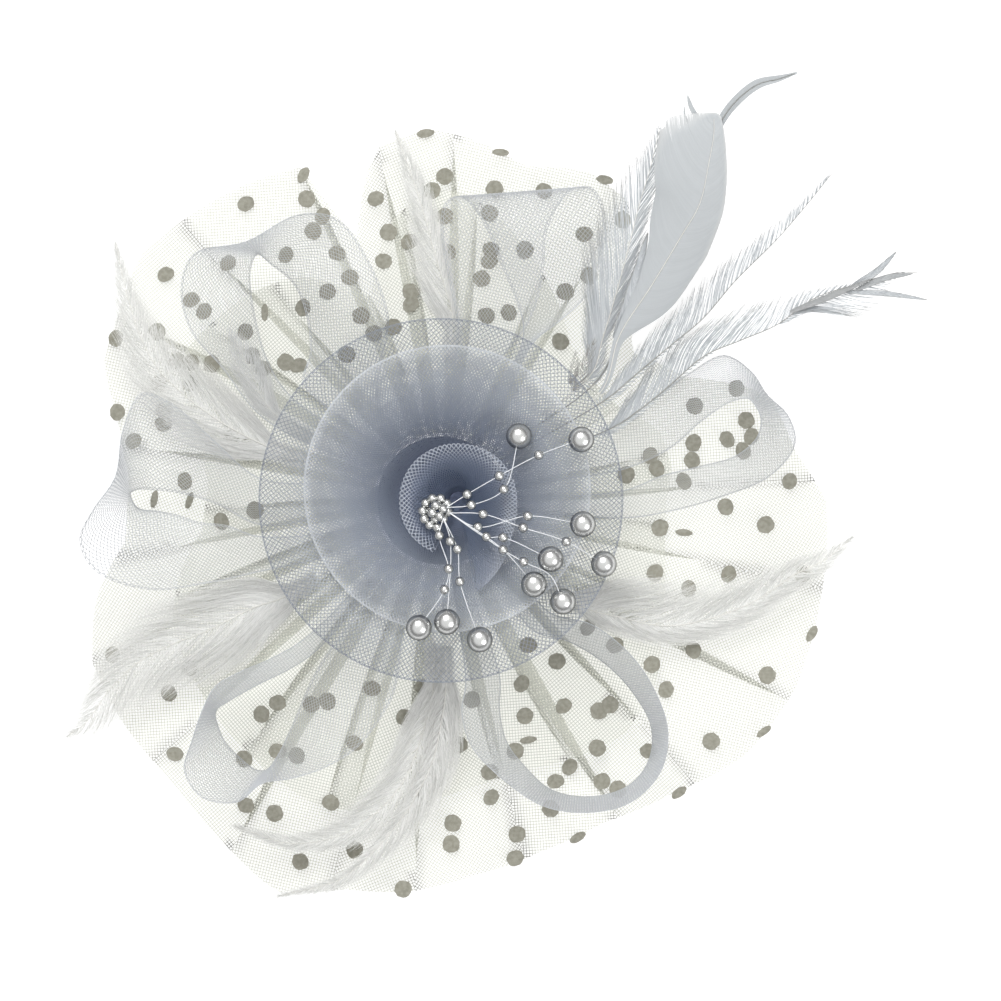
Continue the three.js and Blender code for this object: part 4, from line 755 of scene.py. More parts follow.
def line_mask(tree, coordinate, pitch, width):
    """1 on evenly spaced lines of a coordinate, 0 between them."""
    scaled = calculate(tree, "Math", "DIVIDE", coordinate, pitch)
    wrapped = calculate(tree, "Math", "FRACT", scaled.outputs[0])
    return calculate(tree, "Math", "LESS_THAN", wrapped.outputs[0], width / pitch).outputs[0]


def tulle_material():
    """Fine net: two families of thread on the cloth's own coordinates, clear between them."""
    material, tree, shader = new_material("tulle_net", TULLE_COLOUR, 0.6)
    flat = add_node(tree, "UVMap", uv_map="flat")
    turn = {"Vector": flat.outputs["UV"], "Angle": math.radians(NET_BIAS)}
    turned = add_node(tree, "VectorRotate", turn, rotation_type="Z_AXIS")
    parts = add_node(tree, "SeparateXYZ", {0: turned.outputs[0]})
    pitch = NET_PITCH * METRES
    width = NET_THREAD * METRES
    masks = [line_mask(tree, parts.outputs[axis], pitch, width) for axis in ("X", "Y")]
    thread = calculate(tree, "Math", "MAXIMUM", *masks)
    clear = add_node(tree, "BsdfTransparent", {"Color": (*TULLE_HAZE, 1)})
    mix_surface(tree, thread.outputs[0], clear, shader)
    return material


def dot_material():
    material, tree, shader = new_material("flock", (0.34, 0.332, 0.275), 0.95)
    mottle(tree, shader, (0.25, 0.243, 0.2), (0.335, 0.327, 0.275), 900)
    bumpy(tree, shader, 2500, 0.6, 0.0001)
    return material


def feather_material(name, dark, light, tip):
    """Barbs that differ in tone from one to the next, with tips of another tone, and let some light pass."""
    material, tree, shader = new_material(name, light, 0.45, sheen=0.15)
    flat = add_node(tree, "UVMap", uv_map="flat")
    parts = add_node(tree, "SeparateXYZ", {0: flat.outputs["UV"]})
    tones = colour_ramp(tree, [(0, dark), (1, light)], parts.outputs["X"])
    ends = colour_ramp(tree, [(0.7, (0, 0, 0)), (1, (1, 1, 1))], parts.outputs["Y"])
    mix = add_node(tree, "Mix", {"Factor": ends, "A": tones, "B": (*tip, 1)}, data_type="RGBA")
    tree.links.new(mix.outputs["Result"], shader.inputs["Base Color"])
    glow = add_node(tree, "BsdfTranslucent", {"Color": mix.outputs["Result"]})
    mix_surface(tree, BARB_GLOW, shader, glow)
    return material


def horn_material(name, dark, light):
    """Smooth quill or nylon, a little uneven along its length."""
    material, tree, shader = new_material(name, light, 0.35)
    mottle(tree, shader, dark, light, 500)
    return material


def pearl_material():
    """Silver lustre, with painted shade: darker where the bead turns away from the eye."""
    material, tree, shader = new_material("pearl_lustre", PEARL_COLOUR, 0.26, metallic=0.9)
    shader.inputs["Specular Tint"].default_value = (0.4, 0.4, 0.4, 1)
    # Painted shade by the facing angle, darkening the colour towards the bead's edge
    facing = add_node(tree, "LayerWeight").outputs["Facing"]
    stops = [(0.1, PEARL_COLOUR), (0.5, (0.56, 0.565, 0.56)), (0.75, PEARL_EDGE_SHADE), (1, PEARL_EDGE_SHADE)]
    tree.links.new(colour_ramp(tree, stops, facing), shader.inputs["Base Color"])
    bumpy(tree, shader, 700, 0.05, 0.0002)
    return material


def veil_fold(bearing):
    """Reach and fold of both ruffles at a bearing, between the table's rows."""
    first = VEIL_FOLDS[0]
    once_round = (first[0] + 360, *first[1:])
    return between(VEIL_FOLDS + [once_round], (1, 2, 3, 4), np.mod(bearing, 360))


def way_out(radius, reach):
    """How far out a radius lies on a ruffle: 0 at the hub, 1 at the rim and beyond."""
    share = np.maximum(0, (radius - VEIL_HUB_RADIUS) / (reach * VEIL_REACH - VEIL_HUB_RADIUS))
    return np.minimum(share, 1)


def lower_veil_height(bearing, radius):
    reach, fold, _, _ = veil_fold(bearing)
    rim = VEIL_REST + fold * VEIL_FOLD
    return LOWER_VEIL_Z + (rim - LOWER_VEIL_Z) * way_out(radius, reach)


def upper_veil_height(bearing, radius):
    _, _, reach, fold = veil_fold(bearing)
    return lower_veil_height(bearing, radius) + WALL + GAP + fold * VEIL_FOLD * way_out(radius, reach)


def pleated_rows(pleats, reach_column, shares):
    """Bearing and layer of the cloth's columns on every row, and which way each column runs."""
    bearings, layers, ways = [], [], []
    here, here_layer = np.zeros_like(shares), np.zeros_like(shares)
    for at, depth, opened in pleats + [(360, 0, 1)]:
        back = PLEAT_DEPTH * depth * np.clip(1 - shares / opened, 0, 1)
        reach = float(veil_fold(at)[reach_column]) * VEIL_REACH
        radius = VEIL_HUB_RADIUS + (reach - VEIL_HUB_RADIUS) * shares
        turned = np.clip(np.radians(back) * radius / (3 * PLEAT_TURN), 0, 1)
        bulge = np.degrees(PLEAT_TURN / radius) * turned
        crease = np.full_like(shares, at)
        steps = max(2, int((at - here.mean()) / COLUMN_STEP))
        for share in np.linspace(0, 1, steps, endpoint=False):
            bearings.append(here + (crease - here) * share)
            layers.append(here_layer * (1 - min(1, share * 2)))
            ways.append(1)
        if not depth:
            bearings.append(crease)
            layers.append(0 * shares)
            continue
        for side, base, layer in ((1, crease, 0), (-1, crease - back, 1)):
            for out, up in PLEAT_SECTION:
                bearings.append(base + side * bulge * out)
                layers.append((layer + up) * turned)
                ways.append(side if up < 0.5 else -side)
        here, here_layer = crease - back, 2 * turned
    return np.array(bearings), np.array(layers), np.array(ways)


def cut_size(reach, laid_open):
    """Width, length along the rim and area in square metres of a ruffle whose pleats are laid open."""
    width = (reach.max() - VEIL_HUB_RADIUS) * METRES
    rim = np.linalg.norm(laid_open[:, -1, 2] - laid_open[:, -1, 3], axis=-1).sum()
    one = laid_open[:, :, 2] - laid_open[:, :, 0]
    other = laid_open[:, :, 3] - laid_open[:, :, 1]
    area = np.abs(one[..., 0] * other[..., 1] - one[..., 1] * other[..., 0]).sum() / 2
    return (float(width), float(rim)), float(area)


def tulle(name, node, pleats, height_of, reach_column, material):
    """A ring of net, pleated at the hub, whose pleats open towards the rim; and the size of its cloth."""
    shares = np.linspace(0, 1, TULLE_ROWS)
    bearings, layers, ways = pleated_rows(pleats, reach_column, shares)
    reach = veil_fold(bearings)[reach_column] * VEIL_REACH
    radius = VEIL_HUB_RADIUS + (reach - VEIL_HUB_RADIUS) * shares
    z = height_of(bearings, radius) + WALL / 2 + layers * PLEAT_LIFT
    angle = np.radians(bearings)
    verts = np.stack([radius * np.cos(angle), radius * np.sin(angle), z], -1)
    piece = new_piece(name, verts.reshape(-1, 3), grid_faces(*radius.shape), material, [node])
    panel = np.cumsum(np.concatenate([[0], np.abs(np.diff(ways)) / 2]))
    turned = (ways[:, None] * angle[:-1] + np.radians(NET_TURN) * panel[:, None])
    beyond = (ways[:, None] * angle[1:] + np.radians(NET_TURN) * panel[:, None])
    corners = []
    for column, row in ((0, 0), (1, 0), (1, 1), (0, 1)):
        here = (beyond if column else turned)[:, row:len(shares) - 1 + row]
        out = radius[column:len(radius) - 1 + column, row:len(shares) - 1 + row]
        corners.append(np.stack([out * np.cos(here), out * np.sin(here)], -1))
    laid_open = np.stack(corners, 2) * METRES
    set_uv(piece, laid_open)
    return piece, cut_size(reach, laid_open)


def dot_mesh(east, north, narrow=1.0, bearing=0.0):
    """A flock dot lying on the topmost tulle, with a slightly ragged edge."""
    radius = math.hypot(east, north)
    at = math.degrees(math.atan2(north, east))
    on_upper = radius < float(veil_fold(at)[2]) * VEIL_REACH
    z = float((upper_veil_height if on_upper else lower_veil_height)(at, radius))
    z += WALL / 2 + 2 * PLEAT_LIFT + DOT_GAP
    if narrow == 1:
        narrow = rng.uniform(DOT_SQUASH, 1)
        bearing = at + 90 + rng.uniform(-DOT_LEAN, DOT_LEAN)
    sides = DOT_SIDES
    turn = np.arange(sides) * 2 * math.pi / sides
    out = DOT_DIAMETER / 2 * (1 + rng.uniform(-DOT_RAGGED, DOT_RAGGED, sides))
    long_way = out * np.cos(turn)
    short_way = out * np.sin(turn) * narrow
    lean = math.radians(bearing)
    x = east + long_way * math.cos(lean) - short_way * math.sin(lean)
    y = north + long_way * math.sin(lean) + short_way * math.cos(lean)
    top = np.stack([x, y, np.full(sides, z + DOT_THICKNESS)], 1)
    low = np.stack([x, y, np.full(sides, z)], 1)
    faces = [list(range(sides)), list(range(2 * sides - 1, sides - 1, -1))]
    for k in range(sides):
        n = (k + 1) % sides
        faces.append([sides + k, sides + n, n, k])
    return np.vstack([top, low]), faces


def braid_root(loop, bearing, other):
    """Where the lower and the free edge end at one root. The inside is the side of the other root."""
    turn = math.copysign(1, (other - bearing + 540) % 360 - 180)
    half = math.degrees(ROOT_WIDTH / 2 / ROOT_RADIUS)
    z = ROOT_Z + WALL / 2
    inside = polar(ROOT_RADIUS, bearing + turn * half, z)
    outside = polar(ROOT_RADIUS, bearing - turn * half, z)
    return (inside, outside) if loop["low_edge_inside"] else (outside, inside)


def braid_edges(loop, count):
    """The lower and the free edge of a loop, side by side."""
    rows = np.array(loop["rows"])
    foot = rows[:, :3] * [loop["reach"], loop["reach"], BRAID_RISE] + [0, 0, ROOT_Z + WALL / 2]
    free = foot + rows[:, 3:] * BRAID_WIDTH
    first = braid_root(loop, loop["root_out"], loop["root_back"])
    last = braid_root(loop, loop["root_back"], loop["root_out"])
    low = np.vstack([first[0], foot, last[0]])
    high = np.vstack([first[1], free, last[1]])
    return centripetal(low, count), centripetal(high, count)


def braid_threads(low, high):
    """Two families of thread that cross a band from one edge to the other, with their radii."""
    middle = (low + high) / 2
    run = length_along(middle)
    wide = np.linalg.norm(high - low, axis=1) / BRAID_WIDTH
    paths, radii = [], []
    for family in (1, -1):
        for start in np.arange(-BRAID_WIDTH, run[-1] + BRAID_WIDTH, CRIN_PITCH * math.sqrt(2)):
            begin = start if family == 1 else start + BRAID_WIDTH
            ends = np.clip([family * (place - begin) / BRAID_WIDTH for place in (0, run[-1])], 0, 1)
            low_share, high_share = ends.min(), ends.max()
            if high_share - low_share < SHORTEST_THREAD:
                continue
            count = max(3, int((high_share - low_share) * BRAID_WIDTH * math.sqrt(2) / CRIN_STEP) + 1)
            w = np.linspace(low_share, high_share, count)
            at = np.interp(begin + family * w * BRAID_WIDTH, run, np.arange(len(run)))
            i = np.minimum(at.astype(int), len(run) - 2)
            f = (at - i)[:, None]
            a = low[i] * (1 - f) + low[i + 1] * f
            b = high[i] * (1 - f) + high[i + 1] * f
            normal = unit(np.cross(low[i + 1] - low[i] + high[i + 1] - high[i], b - a))
            paths.append(a + (b - a) * w[:, None] + normal * family * CRIN_THREAD * THREAD_LIFT)
            radii.append(CRIN_THREAD / 2 * np.clip(wide[i], THINNEST_THREAD, 1))
    return paths, radii


def braid_loop(loop, material):
    """One loop of braid, woven of two families of thread and lined along its edges."""
    low, high = braid_edges(loop, BRAID_STEPS)
    paths, radii = braid_threads(low, high)
    for inset in BRAID_EDGE_LINES:
        paths.append(low + (high - low) * inset)
        paths.append(high + (low - high) * inset)
        radii.extend([np.full(len(low), CRIN_THREAD / 2)] * 2)
    verts, faces = tubes(paths, radii)
    new_piece(loop["name"] + "_braid", verts, faces, material, [loop["name"]])


def dish_height(radius, flat_radius, rim_radius, depth, bend):
    share = np.maximum(0, (radius - flat_radius) / (rim_radius - flat_radius))
    return depth * share ** bend


def outer_height(x, y):
    radius = np.hypot(x, y)
    wave = OUTER_RUFFLE * np.sin(OUTER_WAVES * np.arctan2(y, x)) * (radius / OUTER_RADIUS) ** 3
    return OUTER_Z + dish_height(radius, OUTER_FLAT_RADIUS, OUTER_RADIUS, OUTER_DEPTH, OUTER_BEND) + wave


def inner_height(x, y):
    radius = np.hypot(x - INNER_EAST, y - INNER_NORTH)
    return INNER_Z + dish_height(radius, INNER_FLAT_RADIUS, INNER_RADIUS, INNER_DEPTH, INNER_BEND)


def rim_turn(layer, puff):
    """Shares past the rim, and heights, of a tube of braid that turns over at its rim."""
    turn = np.radians(RIM_BEARINGS)
    return 1 + puff * np.sin(turn), layer * np.cos(turn)


def length_along(line):
    """Length along a line in space, from its start to each of its points."""
    return np.concatenate([[0], np.cumsum(np.linalg.norm(np.diff(line, axis=0), axis=1))])


def travelled(out, up):
    """Length along a line in a plane, from its start to each of its points."""
    return np.concatenate([[0], np.cumsum(np.hypot(np.diff(out), np.diff(up)))])


def crin_disc(name, rim_radius, foot_radius, pitch, east, north, height_of, material):
    """A flattened tube of crin gathered to a disc: each thread runs out on top, over the rim and back."""
    width = rim_radius - foot_radius
    count = int(2 * math.pi * rim_radius / (pitch * math.sqrt(2)))
    out = np.linspace(0, 1, int(width / CRIN_STEP), endpoint=False)
    rim_share, rim_lift = rim_turn(RIM_LAYER, RIM_PUFF / width)
    layer = CRIN_LAYER + (RIM_LAYER - CRIN_LAYER) * out ** LAYER_FLARE
    share = np.concatenate([out, rim_share, out[::-1]])
    lift = np.concatenate([layer, rim_lift, -layer[::-1]])
    travel = travelled(share * width, lift) / width
    radius = foot_radius + share * width
    half_way = (travel[len(out) - 1] + travel[-len(out)]) / 2
    steps = round(2 * half_way * width / rim_radius * count / (2 * math.pi))
    pace = steps * math.pi / count / half_way
    back = np.maximum(travel - half_way, 0)
    paths = []
    for family in (1, -1):
        for k in range(count):
            angle = 2 * math.pi * k / count + family * (travel + CRIN_DRIFT * back ** 2) * pace
            x = east + radius * np.cos(angle)
            y = north + radius * np.sin(angle)
            z = height_of(x, y) + WALL / 2 + lift + family * CRIN_THREAD * THREAD_LIFT
            paths.append(np.stack([x, y, z], 1))
    thread_radii = [np.full(len(radius), CRIN_THREAD / 2)] * len(paths)
    for line in range(RIM_LINES):
        angle = np.linspace(0, 2 * math.pi, 2 * count + 1)
        weave = RIM_WEAVE * np.sin(count * angle + line * math.pi)
        edge = rim_radius + RIM_PUFF * (RIM_LINE_OUT - line) + weave
        x = east + edge * np.cos(angle)
        y = north + edge * np.sin(angle)
        paths.append(np.stack([x, y, height_of(x, y) + WALL / 2 + RIM_LAYER - RIM_WEAVE], 1))
        thread_radii.append(np.full(len(angle), CRIN_THREAD / 2))
    verts, faces = tubes(paths, thread_radii)
    new_piece(name + "_crin", verts, faces, material, [name])


def heart_place(turn, share):
    """A point of the rolled wall: along the roll from 0 to 1, and up it from foot to rim."""
    rows = np.array([(math.radians(bearing), out, up) for bearing, out, up in HEART_ROLL])
    fine = centripetal(rows, 200)
    at = turn * (len(fine) - 1)
    bearing, out, up = [np.interp(at, np.arange(len(fine)), fine[:, k]) for k in range(3)]
    radius = HEART_FOOT_RADIUS + (out * HEART_RADIUS - HEART_FOOT_RADIUS) * share ** HEART_FLARE
    x = HEART_EAST + radius * np.cos(bearing)
    y = radius * np.sin(bearing)
    z = HEART_Z + WALL / 2 + up * HEART_HEIGHT * share ** HEART_SWELL
    return np.stack([x, y, z], -1)


def crin_heart(material):
    """The heart: a flattened tube of crin, rolled up, with a rounded rim."""
    out = np.linspace(HEART_CRIN_FOOT, 1, 11, endpoint=False)
    rim_share, rim_lift = rim_turn(HEART_RIM_LAYER, HEART_RIM_PUFF / HEART_HEIGHT)
    layer = CRIN_LAYER + (HEART_RIM_LAYER - CRIN_LAYER) * out ** HEART_LAYER_FLARE
    share = np.concatenate([out, rim_share, out[::-1]])
    lift = np.concatenate([-layer, -rim_lift, layer[::-1]])
    travel = travelled(share * HEART_WIDTH, lift) / HEART_WIDTH
    paths = []
    for family in (1, -1):
        for start in np.arange(-2 * HEART_WIDTH, HEART_LENGTH + 2 * HEART_WIDTH, CRIN_PITCH * math.sqrt(2)):
            turn = (start + family * travel * HEART_WIDTH) / HEART_LENGTH
            kept = (turn >= 0) & (turn <= 1)
            if kept.sum() < 3:
                continue
            point = heart_place(turn, share)
            inward = point - [HEART_EAST, 0, HEART_Z + HEART_HEIGHT]
            inward[:, 2] = 0
            point = point + unit(inward) * lift[:, None]
            paths.append(point[kept])
    for side in (0.0, 1.0):
        paths.append(heart_place(np.full(12, side), np.linspace(HEART_CRIN_FOOT, 1, 12)))
    verts, faces = tubes(paths, CRIN_THREAD / 2)
    new_piece("flower_heart_crin", verts, faces, material, ["flower_heart"])


def bead_profile(diameter, hole, rings):
    """A round bead with a dimple at each end of its bore."""
    radius = diameter / 2
    start = math.asin(hole / diameter)
    profile = [(0, -radius * BORE_DIMPLE)]
    for k in range(rings + 1):
        angle = start + (math.pi - 2 * start) * k / rings
        profile.append((radius * math.sin(angle), -radius * math.cos(angle)))
    profile.append((0, radius * BORE_DIMPLE))
    return profile


def turned_to(verts, axis, centre):
    """Points about Z, turned to lie about an axis and moved to a centre."""
    axis = unit(np.asarray(axis, float))
    lean = [0.12, 0.31, 0.94]
    side = unit(np.cross(axis, lean))
    other = np.cross(axis, side)
    return verts @ np.array([side, other, axis]) + centre


def bead(kind, way, centre):
    """A bead strung one way at its place: kind gives its diameter, hole, rings and sides."""
    verts, faces = lathe(bead_profile(*kind[:3]), kind[3])
    return turned_to(verts, way, centre), faces


def pearl_height(x, y):
    """How high a pearl's centre lies, so that its whole lower side clears both dishes."""
    radius = PEARL_DIAMETER / 2
    height = 0.0
    for ring in (0, 0.35, 0.65, 0.9, 1):
        for bearing in np.arange(0, 360, 22.5):
            dx, dy, _ = polar(ring * radius, bearing)
            rise = radius * math.sqrt(1 - ring ** 2) + WALL + 2 * GAP
            if math.hypot(x + dx, y + dy) < OUTER_RADIUS:
                height = max(height, float(outer_height(x + dx, y + dy)) + rise)
            if math.hypot(x + dx - INNER_EAST, y + dy - INNER_NORTH) < INNER_RADIUS:
                height = max(height, float(inner_height(x + dx, y + dy)) + rise)
    return height


def pearl_centre(index):
    x, y = np.array(PEARL_PLACES[index]) * OUTER_RADIUS
    return np.array([x, y, pearl_height(x, y)])


def spray_point(point):
    return np.array([point[0], point[1], SPRAY_Z + point[2]])


def spray(plan, thread_material, bead_material):
    """Threads with their seed beads, and the pearls at their ends."""
    paths, beads = [], []
    for thread in plan["threads"]:
        centre = pearl_centre(thread["pearl"])
        points = [spray_point(p) for p in thread["points"]]
        ends = [spray_point(plan["knot"]), *points, centre]
        path = centripetal(ends, SPRAY_STEPS * len(ends))
        paths.append(path)
        for index in thread["beads"]:
            near = np.argmin(np.linalg.norm(path - points[index], axis=1))
            beads.append((points[index], path[near + 1] - path[near - 1]))
        number = thread["pearl"] + 1
        name = f"pearl_{number:02d}"
        verts, faces = bead(PEARL_BEAD, path[-1] - path[-PEARL_LEAD], centre)
        new_piece(name + "_bead", verts, faces, bead_material, [name])
    verts, faces = tubes(paths, SPRAY_THREAD / 2, 5)
    new_piece(plan["name"] + "_thread", verts, faces, thread_material)
    verts, faces = join([bead(SEED_BEAD, way, place) for place, way in beads])
    new_piece(plan["name"] + "_seeds", verts, faces, bead_material, [plan["name"]])


def seed_height(x, y):
    """How high a seed's centre lies, so that it clears the heart's wall."""
    radius = math.hypot(x - HEART_EAST, y) + SEED_DIAMETER / 2
    reach = max(0.0, (radius - HEART_FOOT_RADIUS) / (HEART_RADIUS - HEART_FOOT_RADIUS))
    share = reach ** (1 / HEART_FLARE)
    return HEART_Z + WALL + HEART_HEIGHT * share ** HEART_SWELL + SEED_DIAMETER / 2 + GAP


def cluster(material):
    """Seed beads crowded over the heart's throat."""
    places, angle, radius = [], 90.0, CLUSTER_START
    for _ in range(CLUSTER_BEADS):
        x, y, _ = polar(radius, angle)
        places.append((x + CLUSTER_EAST, y + CLUSTER_NORTH))
        turn = math.degrees(CLUSTER_PITCH / radius)
        angle += turn
        radius += CLUSTER_PITCH * turn / 360
    height = max(seed_height(x, y) for x, y in places)
    centres = [np.array([x, y, height + rng.uniform(-0.2, 0.2)]) for x, y in places]
    for bearing in CROWN_BEARINGS:
        x, y, _ = polar(CROWN_RADIUS, bearing)
        centres.append(np.array([x + CLUSTER_EAST, y + CLUSTER_NORTH, height + CROWN_RISE]))
    verts, faces = join([bead(SEED_BEAD, rng.normal(size=3), centre) for centre in centres])
    new_piece("bead_cluster_seeds", verts, faces, material, ["bead_cluster"])


def quill(feather, count):
    """The quill's line and the vane's width on each side, from root to tip."""
    rows = np.array(feather["rows"])
    line = rows[:, :3] * [feather["reach"], feather["reach"], PLUME_RISE] + [0, 0, ROOT_Z + WALL / 2]
    root = polar(QUILL_ROOT_RADIUS, feather["root"], ROOT_Z + WALL / 2)
    widths = np.vstack([[0, 0], rows[:, 3:] * feather["vane"]])
    at = np.linspace(0, len(rows), count)
    widths = np.stack([np.interp(at, np.arange(len(rows) + 1), widths[:, k]) for k in (0, 1)], 1)
    reach = count // (3 * len(rows))
    padded = np.pad(widths, ((reach, reach), (0, 0)), "edge")
    soft = np.hanning(2 * reach + 3)[1:-1]
    widths = np.stack([np.convolve(padded[:, k], soft / soft.sum(), "valid") for k in (0, 1)], 1)
    return centripetal(np.vstack([root, line]), count), widths


def vane(feather, side, style):
    """The quill's line carried on by a cap, with the vane's width on one side shrinking to nothing."""
    line, widths = quill(feather, QUILL_STEPS)
    more = np.linspace(0, 1, CAP_STEPS)[1:, None]
    ahead = unit(line[-1] - line[-2])
    width = np.maximum(widths[:, 0 if side > 0 else 1], 0) * style["slim"]
    foot = np.linspace(1, 0, QUILL_STEPS) ** 3 * style["foot"] * feather["vane"]
    width = np.maximum(width, foot)
    line = np.vstack([line, line[-1] + ahead * style["cap"] * more])
    width = np.concatenate([width, width[-1] * np.sqrt(1 - more[:, 0] ** 2)])
    return line, width


def barbs(line, width, side, begin, style):
    """Barbs on one side of a quill, tapering strips whose tips lie along the vane's outline."""
    count = len(line)
    left = unit(np.cross([0, 0, 1], np.gradient(line, axis=0)))
    run = length_along(line)
    edge = travelled(run[begin:], width[begin:])
    number = int(edge[-1] / style["pitch"])
    at_edge = (np.arange(number) + style["uneven"] * rng.uniform(0, 1, number)) * edge[-1] / number
    at_edge = at_edge[np.interp(at_edge, edge, width[begin:]) > style["least"]]
    number = len(at_edge)
    tip = np.interp(at_edge, edge, run[begin:])
    tip_width = np.interp(at_edge, edge, width[begin:])
    tuft = np.floor(tip / style["tuft"])
    tuft_centre = (tuft + 0.5 + 0.5 * np.sin(7 * tuft)) * style["tuft"]
    tip = tip + (tuft_centre - tip) * style["gather"]
    sweep = style["sweep"] * (1 + style["loose"] * rng.uniform(-1, 1, number))
    root = np.maximum(tip - sweep * tip_width, run[begin] + BARB_ROOT * (tip - run[begin]))
    root = np.minimum(root, run[-CAP_STEPS])
    reach = tip_width * (1 + style["ragged"] * rng.uniform(-1, BARB_LONGER, number))
    f = np.linspace(0, 1, style["points"])
    place = root[:, None] + (tip - root)[:, None] * f ** style["bow"]
    at = np.interp(place, run, np.arange(count))
    centre = np.stack([np.interp(at, np.arange(count), line[:, k]) for k in range(3)], -1)
    away = np.stack([np.interp(at, np.arange(count), left[:, k]) for k in range(3)], -1)
    rise = style["straight"] * f + (1 - style["straight"]) * np.sin(f * math.pi / 2) ** 0.9
    paths = centre + away * (side * reach[:, None] * rise)[..., None]
    stray = rng.uniform(-1, 1, (number, 1))
    wave = rng.uniform(0, 2 * math.pi, (number, 1))
    paths[..., 2] += f * (stray * style["lift"] - style["droop"] * f * reach[:, None])
    paths[..., 0] += style["curl"] * f ** 2 * np.cos(wave + 3 * f)
    paths[..., 1] += style["curl"] * f ** 2 * np.sin(wave + 3 * f)
    half = style["width"] / 2 * (1 - BARB_TAPER * f ** 2) * np.ones((number, 1))
    normals = np.broadcast_to([0.0, 0.0, 1.0], paths.shape) + rng.normal(0, style["tilt"], (number, 1, 3))
    verts, faces = ribbons(paths, normals, half)
    tone = np.broadcast_to(rng.uniform(0, 1, (number, 1)), half.shape)
    along = np.broadcast_to(f, half.shape)
    return verts, faces, np.repeat(np.stack([tone, along], -1).reshape(-1, 2), 2, axis=0)


def leaf(row):
    """A narrow part of a feather that stands away from its vane: barbs on both sides of a short line."""
    points = [(east, north, ROOT_Z + WALL / 2 + rise * PLUME_RISE) for east, north, rise in row["points"]]
    line = centripetal(points, LEAF_STEPS)
    outline = np.sin(np.linspace(LEAF_BEGIN, 1, LEAF_STEPS) * math.pi) ** LEAF_SWELL
    width = row["half_width"] * outline
    style = TUFT if row["tip"] == 1 else LEAF
    parts = [barbs(line, width, side, 0, style) for side in (1, -1)]
    for _, _, values in parts:
        values[:, 1] = np.maximum(values[:, 1], row["tip"])
    return parts


def feather_pieces(feather, style, material, quill_material, slot):
    """The barbs of a feather with its leaves, and its round quill."""
    begin = int(style["bare"] * QUILL_STEPS / len(feather["rows"]))
    parts = [barbs(*vane(feather, side, style), side, begin, style) for side in (1, -1)]
    for row in LEAVES:
        if row["of"] == feather["name"]:
            parts += leaf(row)
    verts, faces = join([part[:2] for part in parts])
    piece = new_piece(feather["name"] + "_barbs", verts, faces, material, [feather["name"]])
    set_uv(piece, np.vstack([part[2] for part in parts])[np.array(faces).ravel()])
    line, _ = quill(feather, SHAFT_STEPS)
    thickness = np.linspace(style["quill"], SHAFT_TIP, SHAFT_STEPS)
    verts, faces = tubes([line + [0, 0, style["quill"]]], [thickness], 6)
    new_piece(feather["name"] + "_quill", verts, faces, quill_material)


def felt_disc(material):
    """The felt base, with softly rounded edges."""
    low, high = DISC_Z, DISC_Z + DISC_THICKNESS
    flat = DISC_RADIUS - FELT_EDGE
    corner = DISC_RADIUS - FELT_CORNER[0]
    profile = [(0, low), (flat, low), (corner, low + FELT_CORNER[1]), (DISC_RADIUS, low + FELT_EDGE),
               (DISC_RADIUS, high - FELT_EDGE), (corner, high - FELT_CORNER[1]), (flat, high), (0, high)]
    verts, faces = lathe(profile, FELT_SIDES)
    new_piece("felt_disc_soft", verts, faces, material, ["felt_disc"])


def camera():
    data = bpy.data.cameras.new("camera")
    data.sensor_width = SENSOR
    data.lens = SENSOR * (CAMERA_HEIGHT - FOCUS_HEIGHT) / VIEW_WIDTH
    data.clip_end = 2 * CAMERA_HEIGHT * METRES
    view = bpy.data.objects.new("camera", data)
    view.location = np.array([CAMERA_EAST, CAMERA_NORTH, CAMERA_HEIGHT]) * METRES
    bpy.context.scene.collection.objects.link(view)
    bpy.context.scene.camera = view


def softbox(name, place, size, power):
    """An area light that faces the flower."""
    data = bpy.data.lights.new(name, "AREA")
    data.size = size * METRES
    data.energy = power
    light = bpy.data.objects.new(name, data)
    light.location = np.array(place) * METRES
    light.rotation_euler = (-light.location).to_track_quat("-Z", "Y").to_euler()
    bpy.context.scene.collection.objects.link(light)


def floor():
    mesh = bpy.data.meshes.new("floor")
    corners = [(east * FLOOR_HALF, north * FLOOR_HALF, FLOOR_Z)
               for east, north in ((-1, -1), (1, -1), (1, 1), (-1, 1))]
    mesh.from_pydata((np.array(corners) * METRES).tolist(), [], [(0, 1, 2, 3)])
    material, _, shader = new_material("floor_white", FLOOR_COLOUR, 0.9)
    shader.inputs["Emission Color"].default_value = (1, 1, 1, 1)
    shader.inputs["Emission Strength"].default_value = FLOOR_GLOW
    mesh.materials.append(material)
    piece = bpy.data.objects.new("floor", mesh)
    bpy.context.scene.collection.objects.link(piece)


def light_room():
    """Bright overhead, darkest some way above the horizon, with two softboxes."""
    world = bpy.data.worlds.new("room")
    world.use_nodes = True
    tree = world.node_tree
    place = add_node(tree, "TexCoord").outputs["Generated"]
    height = add_node(tree, "SeparateXYZ", {0: place}).outputs["Z"]
    sky = colour_ramp(tree, [(0, ROOM_HORIZON), (0.4, ROOM_DARK), (0.7, ROOM_BRIGHT)], height)
    tree.links.new(sky, tree.nodes["Background"].inputs["Color"])
    bpy.context.scene.world = world
    bpy.context.scene.view_settings.view_transform = "Standard"
    for name, (place, size, power) in SOFTBOXES.items():
        softbox(name, place, size, power)


camera()
floor()
light_room()

